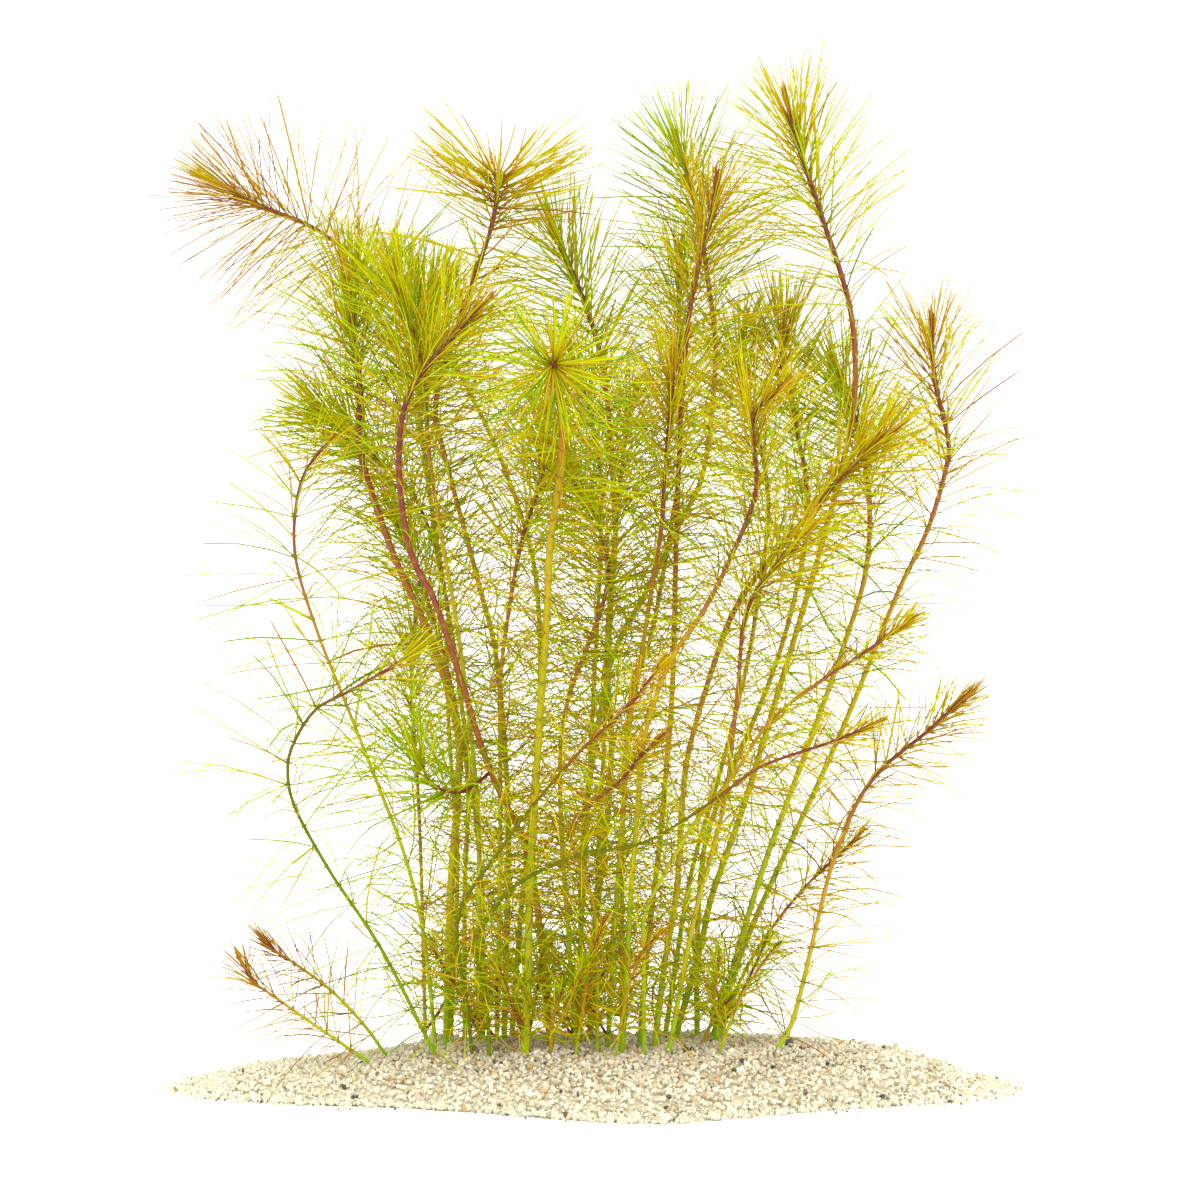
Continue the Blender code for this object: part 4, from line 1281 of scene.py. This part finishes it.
        bud_length = habit.bud_length * shoot.vigour * draw.uniform(*CHANCE.bud_lengths, count)
        length = np.where(in_bud, bud_length, length)
        short = draw.uniform(size=count) < CHANCE.short_share
        length *= np.where(short, draw.uniform(*CHANCE.short_lengths, count), 1.0)
        heading = np.cos(opening)[:, None] * along + np.sin(opening)[:, None] * outward
        wander = np.where(in_bud, CHANCE.bud_wander, habit.read("wander", below))[:, None]
        wave = self.waviness * wander * draw.normal(size=(count, 3))
        droop = np.where(in_bud, 0.0, habit.read("droop", below))
        bend = (droop * draw.uniform(*CHANCE.droops, count))[:, None] * DOWN
        bend = bend + wander * draw.normal(size=(count, 1)) * np.cross(along, outward)
        bend = bend + wander * draw.normal(size=(count, 3)) - wave
        width = habit.read("width", below) * draw.uniform(*CHANCE.widths, count)
        broad = draw.uniform(size=count) < CHANCE.broad_share
        width = np.where(in_bud, habit.bud_width, width * self.breadth)
        width = width * np.where(broad, CHANCE.broad_width, 1.0)
        roll = draw.normal(0.0, CHANCE.roll, count)
        spread = habit.read("shade_spread", below) * draw.normal(size=count)
        rusty = (draw.uniform(size=count) < CHANCE.rusty_share) & (below > CHANCE.rusty_below)
        spread += np.where(rusty, CHANCE.rusty_shade, 0.0)
        spread += SHADE_BY_TONE[self.tone] + self.warmth
        shade = np.where(in_bud, habit.bud_shade, habit.read("shade", below)) + spread
        bud_end = habit.bud_shade - CHANCE.bud_fade
        end_shade = np.where(in_bud, bud_end, habit.read("end_shade", below)) + spread
        shades = np.stack((shade, end_shade), axis=1)
        thinned = np.where(below > self.lower_start, self.lower_leaves, 1.0)
        kept = in_bud | (draw.uniform(size=count) < habit.read("fullness", below) * thinned)
        looks = (base, heading, along, bend, wave, length, width, roll, shades)
        self.add_blades(mesh, *(values[kept] for values in looks), draw, cells)

    def add_blades(self, mesh: PieceMesh, base: np.ndarray, heading: np.ndarray, along: np.ndarray,
                   bend: np.ndarray, wave: np.ndarray, length: np.ndarray, width: np.ndarray,
                   roll: np.ndarray, shade: np.ndarray, draw: np.random.Generator, cells: tuple) -> None:
        """Adds closed needle blades, each a flat strip with a low keel under it.

        Args:
            mesh: The piece's mesh.
            base: Where each blade starts.
            heading: Which way it starts.
            along: The stem's direction there.
            bend: What its direction gains by its tip.
            wave: What it gains besides, late along its length.
            length: How long it is.
            width: How wide it is.
            roll: How far it is turned about itself.
            shade: Its place between green and brown, at its base and at its tip.
            draw: Where chance comes from.
            cells: The number of the first cell on the map, and of all cells.
        """
        count, rings = len(base), len(self.rings)
        places = np.array((*self.rings, 1.0))
        spot, spots, frames = base, [base], []
        for low, high in zip(places, places[1:]):
            middle = (low + high) / 2
            frames.append(unit(heading + bend * low + wave * low ** 2))
            way = unit(heading + bend * middle + wave * middle ** 2)
            spot = spot + way * (length * (high - low))[:, None]
            spots.append(spot)
        points = []
        for centre, direction, share in zip(spots, frames, self.ring_widths):
            flat = unit(np.cross(along, direction))
            above = np.cross(direction, flat)
            flat, above = (np.cos(roll)[:, None] * flat + np.sin(roll)[:, None] * above,
                           np.cos(roll)[:, None] * above - np.sin(roll)[:, None] * flat)
            half = (width * share / 2)[:, None]
            points += [centre + flat * half, centre - flat * half, centre - above * half * self.keel]
        points.append(spots[-1])
        points = self.above_gravel(np.stack(points, axis=1))
        one, two, three = 3 * (rings - 1) + np.arange(3)
        tip = three + 1
        ends = np.array(((one, two, tip), (two, three, tip), (three, one, tip), (0, 2, 1)))
        blade = np.concatenate((ring_walls(rings, 3), ends))
        size = 3 * rings + 1
        triangles = blade[None] + np.arange(count)[:, None, None] * size
        on_map = MAP_PLAN.blades(self.rings, cells, count)
        run_out = np.append(np.repeat(self.rings, 3), 1.0)
        eased = np.minimum(run_out * self.tint_run, 1.0)[None]
        tint = shade[:, :1] * (1.0 - eased) + shade[:, 1:] * eased
        mesh.add(
            points.reshape(-1, 3), triangles.reshape(-1, 3), on_map[:, blade].reshape(-1, 3, 2), 0,
            shade=np.clip(tint, 0.0, 1.0).ravel(), along=np.tile(run_out, count),
            lot=np.repeat(draw.uniform(size=count), size))

    def above_gravel(self, points: np.ndarray) -> np.ndarray:
        """Lifts what would lie in the gravel or the floor until it lies on it."""
        least = MOUND.surface(points[..., 0], points[..., 1]) + self.over_gravel
        near = MOUND.reach(points[..., 0], points[..., 1]) < 1.0
        rooted = points[..., 2] < least
        off_floor = np.maximum(points[..., 2], self.over_floor)
        lifted = points.copy()
        lifted[..., 2] = np.where(rooted & near, least + self.lift, off_floor)
        return lifted

    def sprout_course(self, draw: np.random.Generator, main: Course) -> Course:
        """A short side shoot's line, from low on the stem outward and then up."""
        start, _ = main.at(np.array((draw.uniform(*self.sprout_place),)))
        angle = draw.uniform(0.0, 2 * math.pi)
        out = np.array((math.cos(angle), math.sin(angle), 0.0))
        long = draw.uniform(*self.sprout_length)
        lean = draw.uniform(*self.sprout_lean)
        rise = np.array((0.0, 0.0, self.sprout_rise))
        knots = [start[0] + long * (share * lean * out + share ** self.sprout_bow * rise)
                 for share in self.sprout_knots]
        return Course(tuple(tuple(knot) for knot in knots))

    def shoots(self, draw: np.random.Generator) -> list[Shoot]:
        """All leafy lines of the stem, with the stem itself first."""
        x, y = self.foot
        foot = (x, y, MOUND.foot_height(x, y))
        habit = HABITS[self.crown]
        main = Course((foot, *self.course), habit.crown_height)
        shoots = [Shoot(main, -self.foot_depth, self.bare_foot, self.girth, self.vigour, habit)]
        if self.twig:
            fan = HABITS[Crown.TWIG]
            course = Course(self.twig, fan.crown_height)
            shoots.append(Shoot(course, 0.0, self.twig_bare, self.girth * self.twig_girth, self.vigour, fan))
        for _ in range(self.sprouts):
            course = self.sprout_course(draw, main)
            shoots.append(Shoot(course, 0.0, self.sprout_bare, self.sprout_girth, 1.0, HABITS[Crown.SPROUT]))
        return shoots

    def build(self, number: int, materials: list[bpy.types.Material]) -> None:
        """Builds the stem with its leaves and lets it stand for its solid.

        Args:
            number: Its place in the clump, from which its chance comes.
            materials: The materials of the leaves, of most stems and of the dusky ones.
        """
        draw = np.random.default_rng(self.first_seed + number)
        shoots = self.shoots(draw)
        leaf_counts = [len(shoot.whorls) * self.leaves_to_whorl + shoot.habit.bud_leaves for shoot in shoots]
        mesh = PieceMesh()
        for index, shoot in enumerate(shoots):
            self.add_tube(mesh, shoot, MAP_PLAN.strip(index, len(shoots)))
            self.add_needles(mesh, draw, shoot, (sum(leaf_counts[:index]), sum(leaf_counts)))
        leaf, skin, dusky_skin = materials
        worn = [leaf, dusky_skin if self.dusky else skin]
        piece = mesh.to_object(self.name + "_leafy", worn, smooth=True)
        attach(piece, BODY)
        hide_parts(self.name)
        LOG.info("%s: %d triangles", piece.name, len(piece.data.polygons))


MOUND = Mound()
PLANTS = (
    # The far left stem that leans out of the top of the clump.
    Plant("stem_01", 1.9, (-22, 19), (
        (-19, 20, 51), (-16, 21, 79), (-14, 22, 110), (-15, 23, 140), (-20, 24, 161),
        (-31, 25, 188), (-46, 25, 212), (-73, 23, 237), (-92, 22, 246), (-108, 20, 255)),
        Tone.GOLD, 1.05, Crown.SPINDLE, flush=50.0, breadth=1.2),
    # The thick stem on the left that rises to the left shoulder.
    Plant("stem_02", 2.5, (-40, -2), (
        (-39, -4, 54), (-37, -6, 82), (-37, -8, 102), (-44, -8, 127), (-55, -6, 152),
        (-64, -4, 180), (-64, 0, 196), (-66, 4, 216), (-65, 8, 235)),
        Tone.GREEN, 1.04, Crown.THICKET, flush=95.0, warmth=0.02, plumpness=0.95,
        leaves_to_whorl=16),
    Plant("stem_03", 1.7, (-35, 5), (
        (-35, 6, 54), (-34, 6, 82), (-36, 7, 99), (-42, 8, 126), (-51, 11, 152), (-58, 15, 166)),
        Tone.GREEN, 0.95, Crown.THICKET, leaves_to_whorl=11),
    # The red stem with the long S bend and a green fan of leaves on a short twig.
    Plant("stem_04", 2.3, (-11, -6), (
        (-14, -8, 47), (-18, -12, 70), (-28, -19, 93), (-36, -25, 119), (-43, -30, 141),
        (-50, -32, 156), (-53, -35, 181), (-50, -37, 200), (-39, -40, 215), (-25, -44, 230)),
        Tone.RUST, flush=150.0, plumpness=0.9, lower_leaves=0.5, sprouts=1,
        twig=((-27.5, -18.6, 92), (-35, -23, 87), (-43, -27, 89), (-49, -31, 99))),
    Plant("stem_05", 1.8, (-30, 15), (
        (-30, 18, 36), (-31, 20, 63), (-34, 24, 90), (-38, 28, 120), (-42, 32, 145),
        (-45, 35, 164), (-48, 38, 189), (-47, 39, 203), (-44, 42, 224)),
        Tone.GREEN, 1.0, Crown.THICKET, warmth=-0.04, leaves_to_whorl=16),
    Plant("stem_06", 1.6, (-39, 14), (
        (-38, 15, 37), (-37, 16, 65), (-39, 17, 92), (-40, 18, 115), (-40, 19, 134),
        (-46, 20, 158), (-54, 20, 170), (-68, 19, 183), (-80, 18, 192)),
        Tone.GREEN, 1.0, Crown.THICKET, leaves_to_whorl=16),
    # The tall stem under the widest brown crown.
    Plant("stem_07", 2.1, (-24, 4), (
        (-23, 4, 54), (-23, 4, 82), (-26, 4, 120), (-31, 3, 142), (-41, 2, 180), (-43, 2, 191),
        (-41, 2, 202), (-34, 2, 223), (-27, 3, 244), (-25, 4, 262)),
        Tone.RUST, 1.02, Crown.UMBRELLA, flush=85.0, warmth=-0.06, leaves_to_whorl=15,
        breadth=1.25),
    Plant("stem_08", 2.2, (0, 2), (
        (1, 2, 40), (5, 3, 78), (6, 4, 98), (5, 5, 115), (6, 6, 139), (7, 8, 159), (4, 11, 199),
        (-2, 13, 221), (-9, 14, 237), (-12, 15, 247)),
        Tone.GREEN, flush=60.0, breadth=1.25),
    Plant("stem_09", 1.7, (2, 25), (
        (2, 26, 56), (4, 29, 95), (5, 33, 128), (7, 38, 152), (9, 43, 170), (11, 47, 185),
        (15, 50, 196)),
        Tone.GREEN, 0.9),
    # The olive stem whose tip opens like a star towards the front.
    Plant("stem_10", 2.5, (-18, -18), (
        (-17, -20, 50), (-16, -23, 73), (-14, -27, 107), (-12, -32, 137), (-11, -37, 158),
        (-8, -43, 180), (-8, -47, 194), (-9, -53, 205), (-10, -61, 210), (-10, -69, 212)),
        Tone.GREEN, crown=Crown.STAR, flush=30.0, warmth=0.08, foot_shade=0.2, plumpness=0.98,
        sprouts=3, leaves_to_whorl=18),
    Plant("stem_11", 1.7, (-26, -7), (
        (-25, -9, 69), (-25, -11, 97), (-25, -14, 116), (-23, -17, 134), (-19, -21, 157),
        (-13, -25, 177), (-12, -30, 199)),
        Tone.GOLD, breadth=1.2, sprouts=2),
    Plant("stem_12", 1.8, (-4, -12), (
        (-6, -12, 46), (-8, -12, 75), (-8, -12, 100), (-5, -13, 115), (0, -14, 128),
        (4, -14, 140), (5, -14, 151), (1, -13, 164), (-4, -12, 172), (-11, -10, 184)),
        Tone.GOLD, breadth=1.2, sprouts=2),
    Plant("stem_13", 1.7, (-4, 14), (
        (-2, 16, 50), (0, 18, 90), (2, 20, 128), (3, 23, 150), (3, 27, 170), (-1, 33, 190),
        (-7, 40, 207)),
        Tone.GREEN),
    Plant("stem_14", 2.1, (-3, -5), (
        (-2, -5, 66), (0, -5, 88), (6, -4, 121), (16, -2, 141), (25, 0, 159), (32, 3, 175),
        (35, 7, 204), (34, 9, 218), (30, 13, 244), (23, 16, 269)),
        Tone.GREEN, crown=Crown.FAN, flush=60.0, breadth=1.2, sprouts=1),
    Plant("stem_15", 2.1, (14, -3), (
        (16, -4, 40), (19, -6, 66), (21, -8, 88), (23, -10, 115), (24, -12, 154), (25, -12, 184),
        (27, -10, 214), (30, -9, 231), (34, -8, 247), (35, -8, 260)),
        Tone.GOLD, flush=100.0, warmth=0.08),
    Plant("stem_16", 1.8, (9, 15), (
        (9, 16, 63), (10, 17, 91), (12, 18, 112), (17, 19, 125), (22, 21, 152), (25, 23, 174),
        (25, 26, 205), (25, 29, 229), (29, 30, 236)),
        Tone.GREEN, flush=90.0),
    Plant("stem_17", 1.8, (5, -10), (
        (7, -12, 50), (9, -15, 78), (11, -18, 104), (14, -20, 123), (18, -23, 149),
        (20, -24, 162), (21, -25, 178), (23, -28, 205), (22, -30, 214)),
        Tone.GOLD, sprouts=1),
    # The tallest stem, right of the middle.
    Plant("stem_18", 2.3, (24, 12), (
        (31, 11, 39), (34, 10, 53), (43, 9, 79), (52, 8, 109), (64, 7, 150), (72, 7, 182),
        (74, 7, 200), (72, 8, 221), (63, 10, 249), (56, 11, 271), (55, 12, 281)),
        Tone.RUST, 1.0, flush=95.0, warmth=-0.04, breadth=1.25, lower_leaves=0.6),
    Plant("stem_19", 2.0, (9, -16), (
        (11, -21, 51), (13, -26, 79), (15, -29, 102), (22, -32, 124), (31, -34, 138),
        (39, -36, 154), (46, -38, 173), (45, -40, 192), (48, -41, 198), (57, -42, 203)),
        Tone.GOLD, lower_leaves=0.7),
    Plant("stem_20", 1.8, (21, 20), (
        (28, 24, 56), (36, 28, 84), (43, 32, 111), (47, 36, 133), (50, 40, 158), (48, 42, 175),
        (42, 45, 198), (45, 48, 214)),
        Tone.GOLD, 0.92, breadth=1.2, lower_leaves=0.55),
    Plant("stem_21", 2.0, (30, 18), (
        (30, 18, 38), (32, 17, 66), (39, 17, 86), (50, 19, 112), (57, 21, 135), (61, 23, 160),
        (58, 25, 182), (54, 27, 204), (56, 28, 221)),
        Tone.GOLD, breadth=1.25, lower_leaves=0.5),
    # The red stem that leans far to the right above the middle.
    Plant("stem_22", 2.2, (18, -11), (
        (21, -10, 38), (24, -11, 56), (26, -12, 85), (28, -13, 99), (35, -14, 123),
        (42, -16, 140), (55, -18, 157), (73, -20, 178), (88, -22, 190)),
        Tone.RUST, flush=80.0, breadth=1.2, lower_leaves=0.55),
    Plant("stem_23", 1.8, (22, -18), (
        (29, -20, 51), (34, -23, 70), (38, -26, 88), (41, -32, 116), (43, -36, 137),
        (49, -39, 149), (64, -42, 166)),
        Tone.GOLD, lower_leaves=0.6),
    Plant("stem_24", 2.2, (35, -1), (
        (41, 0, 38), (48, 2, 61), (53, 3, 75), (62, 6, 99), (71, 10, 124), (77, 14, 144),
        (78, 18, 164), (75, 22, 183), (69, 25, 199), (69, 26, 207)),
        Tone.GREEN, warmth=-0.08, leaves_to_whorl=14, breadth=1.25, lower_leaves=0.5, sprouts=1),
    # The stem at the far right with the long bow.
    Plant("stem_25", 2.1, (34, 9), (
        (42, 11, 36), (50, 12, 55), (64, 13, 85), (74, 14, 108), (86, 15, 138), (94, 15, 155),
        (99, 16, 171), (100, 16, 181), (96, 16, 199), (95, 16, 220)),
        Tone.GREEN, 0.94, flush=60.0, warmth=0.2, breadth=1.15, leaves_to_whorl=10, sprouts=1),
    # The low red shoot that reaches out on the right.
    Plant("stem_26", 1.9, (52, -15), (
        (57, -15, 23), (64, -15, 52), (68, -15, 67), (75, -16, 84), (83, -16, 94), (94, -16, 103),
        (108, -17, 116)),
        Tone.RUST, 1.05, Crown.BRUSH, flush=50.0, warmth=0.0, plumpness=0.75, breadth=1.3),
    Plant("stem_27", 1.3, (36, 4), (
        (42, 5, 30), (50, 3, 44), (60, 0, 57), (70, -3, 67), (78, -5, 75)),
        Tone.RUST, 0.8, Crown.BRUSH, flush=30.0, sprouts=1),
    # The stem that crosses the whole front of the clump.
    Plant("stem_28", 2.0, (-28, -17), (
        (-29, -21, 29), (-32, -27, 43), (-30, -31, 50), (-21, -36, 62), (-5, -42, 71),
        (16, -45, 76), (35, -46, 88), (48, -45, 97), (69, -42, 104), (83, -40, 110)),
        Tone.RUST, 0.9, Crown.BRUSH, flush=38.0, warmth=-0.05, plumpness=0.58, foot_shade=0.2,
        dusky=True),
    Plant("stem_29", 1.9, (15, -20), (
        (15, -24, 43), (16, -28, 55), (28, -34, 78), (39, -36, 92), (50, -34, 108),
        (64, -32, 119), (78, -30, 128), (93, -28, 139)),
        Tone.RUST, 0.95, Crown.BRUSH, flush=38.0, warmth=-0.05, plumpness=0.68, breadth=1.15,
        lower_leaves=0.6),
    # The two bowed stems on the left.
    Plant("stem_30", 2.0, (-43, -8), (
        (-46, -8, 42), (-51, -9, 65), (-59, -11, 87), (-69, -13, 113), (-76, -14, 131),
        (-82, -14, 152), (-81, -14, 170), (-76, -13, 180), (-68, -12, 187)),
        Tone.GREEN, crown=Crown.BOW, flush=46.0, plumpness=0.62, leaves_to_whorl=10, warmth=0.04),
    Plant("stem_31", 1.4, (-46, 8), (
        (-47, 13, 53), (-48, 17, 80), (-50, 22, 112), (-48, 26, 136)),
        Tone.GOLD, 0.85, lower_leaves=0.6, sprouts=1),
    Plant("stem_32", 1.9, (-43, -15), (
        (-58, -19, 42), (-72, -23, 64), (-82, -27, 83), (-84, -28, 94), (-82, -29, 102),
        (-76, -30, 111), (-67, -31, 116), (-53, -31, 124), (-46, -31, 128)),
        Tone.RUST, 1.0, Crown.BOW, flush=24.0, warmth=-0.12, plumpness=0.62, leaves_to_whorl=10,
        foot_shade=0.08, dusky=True),
    # The two low sprigs at the left edge of the gravel.
    Plant("stem_33", 1.5, (-61, -11), (
        (-72, -15, 17), (-88, -20, 29), (-94, -22, 34), (-99, -24, 44)),
        Tone.GREEN, 0.9, Crown.BRUSH, flush=5.0, warmth=0.24, plumpness=0.72, leaves_to_whorl=8,
        breadth=1.1),
    Plant("stem_34", 1.5, (-57, -3), (
        (-63, -6, 19), (-72, -9, 29), (-82, -12, 37), (-89, -13, 42), (-93, -13, 49)),
        Tone.GREEN, 0.9, Crown.BRUSH, flush=5.0, warmth=0.26, plumpness=0.72, leaves_to_whorl=8,
        breadth=1.1),
    # The pink-tipped stem that leans across the front to the right.
    Plant("stem_35", 1.9, (-33, -14), (
        (-34, -18, 24), (-36, -24, 37), (-37, -30, 48), (-35, -36, 58), (-26, -45, 72),
        (-17, -50, 85), (-3, -55, 102), (12, -59, 117), (23, -61, 132)),
        Tone.RUST, 0.85, Crown.BRUSH, flush=32.0, plumpness=0.58, foot_shade=0.2, dusky=True,
        sprouts=1),
    Plant("stem_36", 1.9, (2, -17), (
        (2, -20, 46), (0, -23, 59), (-5, -29, 73), (-4, -33, 81), (1, -37, 86), (9, -42, 93),
        (15, -47, 101), (23, -52, 108)),
        Tone.RUST, 0.8, Crown.BRUSH, flush=36.0, plumpness=0.58, sprouts=1),
    Plant("stem_37", 1.8, (-31, -4), (
        (-31, -8, 50), (-31, -10, 75), (-32, -11, 90), (-35, -15, 118), (-38, -17, 139),
        (-42, -18, 162), (-45, -18, 184), (-46, -17, 201), (-50, -17, 218), (-55, -16, 234)),
        Tone.GREEN, 1.0, Crown.THICKET, warmth=0.02, leaves_to_whorl=16, sprouts=2),
    # Short new shoots close above the gravel.
    Plant("shoot_01", 1.4, (7, -24), (
        (9, -27, 24), (12, -31, 37), (17, -33, 46), (25, -34, 53)),
        Tone.RUST, 0.5, Crown.BRUSH, flush=10.0, plumpness=0.6, leaves_to_whorl=9),
    Plant("shoot_02", 1.4, (-4, -21), (
        (-1, -25, 32), (2, -29, 46), (6, -31, 57)),
        Tone.RUST, 0.5, Crown.BRUSH, flush=12.0, plumpness=0.6, leaves_to_whorl=9),
    Plant("shoot_03", 1.3, (-11, -20), (
        (-10, -23, 24), (-7, -26, 34)),
        Tone.GREEN, 0.9, Crown.SPROUT, flush=5.0, sprouts=2),
    Plant("shoot_04", 1.3, (31, -9), (
        (35, -11, 22), (41, -14, 30)),
        Tone.GREEN, 0.9, Crown.SPROUT, flush=5.0, sprouts=1),
    Plant("shoot_05", 1.3, (36, -17), (
        (41, -18, 26), (46, -18, 35), (53, -17, 44)),
        Tone.GREEN, 1.0, Crown.SPROUT, flush=5.0, plumpness=0.7, sprouts=1),
)


@dataclass
class Studio:
    """The plain pale floor, the soft light and the camera."""

    floor_size: float = 70.0
    floor_drop: float = 0.0003
    target: tuple = (0.0028, 0.0, 0.1378)
    elevation: float = 7.0
    lens: float = 800.0
    frame_width: float = 0.3345
    sensor: float = 36.0
    world_colour: tuple = (1.0, 1.0, 1.0)
    world_strength: float = 1.65
    lamps: tuple = (
        ("key", (-0.7, -1.1, 1.3), 0.8, 14.0),
        ("fill", (1.1, -0.8, 0.8), 0.9, 8.0),
        ("back", (0.2, 1.2, 1.1), 1.1, 10.0),
    )

    def build(self, finish: FloorFinish) -> None:
        """Builds the floor, the light and the camera."""
        self.add_floor(finish.material())
        self.add_light()
        self.add_camera()
        bpy.context.scene.view_settings.view_transform = "Standard"

    def add_floor(self, material: bpy.types.Material) -> None:
        """Lays the floor just under the gravel."""
        half = self.floor_size / 2
        corners = [(-half, -half), (half, -half), (half, half), (-half, half)]
        mesh = bpy.data.meshes.new("floor")
        mesh.from_pydata([(x, y, -self.floor_drop) for x, y in corners], [], [(0, 1, 2, 3)])
        mesh.materials.append(material)
        floor = bpy.data.objects.new("floor", mesh)
        bpy.context.scene.collection.objects.link(floor)

    def add_light(self) -> None:
        """Lights the world white and adds the soft lamps, all aimed at the clump."""
        world = bpy.data.worlds.new("studio_world")
        world.use_nodes = True
        shade = world.node_tree.nodes["Background"]
        shade.inputs["Color"].default_value = (*self.world_colour, 1.0)
        shade.inputs["Strength"].default_value = self.world_strength
        bpy.context.scene.world = world
        for name, place, size, power in self.lamps:
            lamp = bpy.data.lights.new(name, "AREA")
            lamp.size = size
            lamp.energy = power
            holder = bpy.data.objects.new(name, lamp)
            holder.location = place
            aim = Vector(self.target) - Vector(place)
            holder.rotation_euler = aim.to_track_quat("-Z", "Y").to_euler()
            bpy.context.scene.collection.objects.link(holder)

    def add_camera(self) -> None:
        """Places the camera far in front of the clump, a little above it."""
        lens = bpy.data.cameras.new("camera")
        lens.lens = self.lens
        lens.sensor_width = self.sensor
        lens.clip_end = 100.0
        angle = math.radians(self.elevation)
        away = self.frame_width * self.lens / self.sensor
        back = Vector((0.0, -math.cos(angle), math.sin(angle)))
        camera = bpy.data.objects.new("camera", lens)
        camera.location = Vector(self.target) + back * away
        camera.rotation_euler = (-back).to_track_quat("-Z", "Y").to_euler()
        bpy.context.scene.collection.objects.link(camera)
        bpy.context.scene.camera = camera


def write_sizes() -> None:
    """Brings the view layer up to date."""
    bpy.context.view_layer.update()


def main() -> None:
    """Dresses the mound and every stem, then sets up the studio."""
    logging.basicConfig(level=logging.INFO, format="%(name)s %(message)s")
    MOUND.build(GravelFinish().material())
    plant_materials = [LeafFinish().material(), BarkFinish().material(), DUSKY_BARK.material()]
    for number, plant in enumerate(PLANTS):
        plant.build(number, plant_materials)
    Studio().build(FloorFinish())
    write_sizes()


if __name__ == "__main__":
    main()
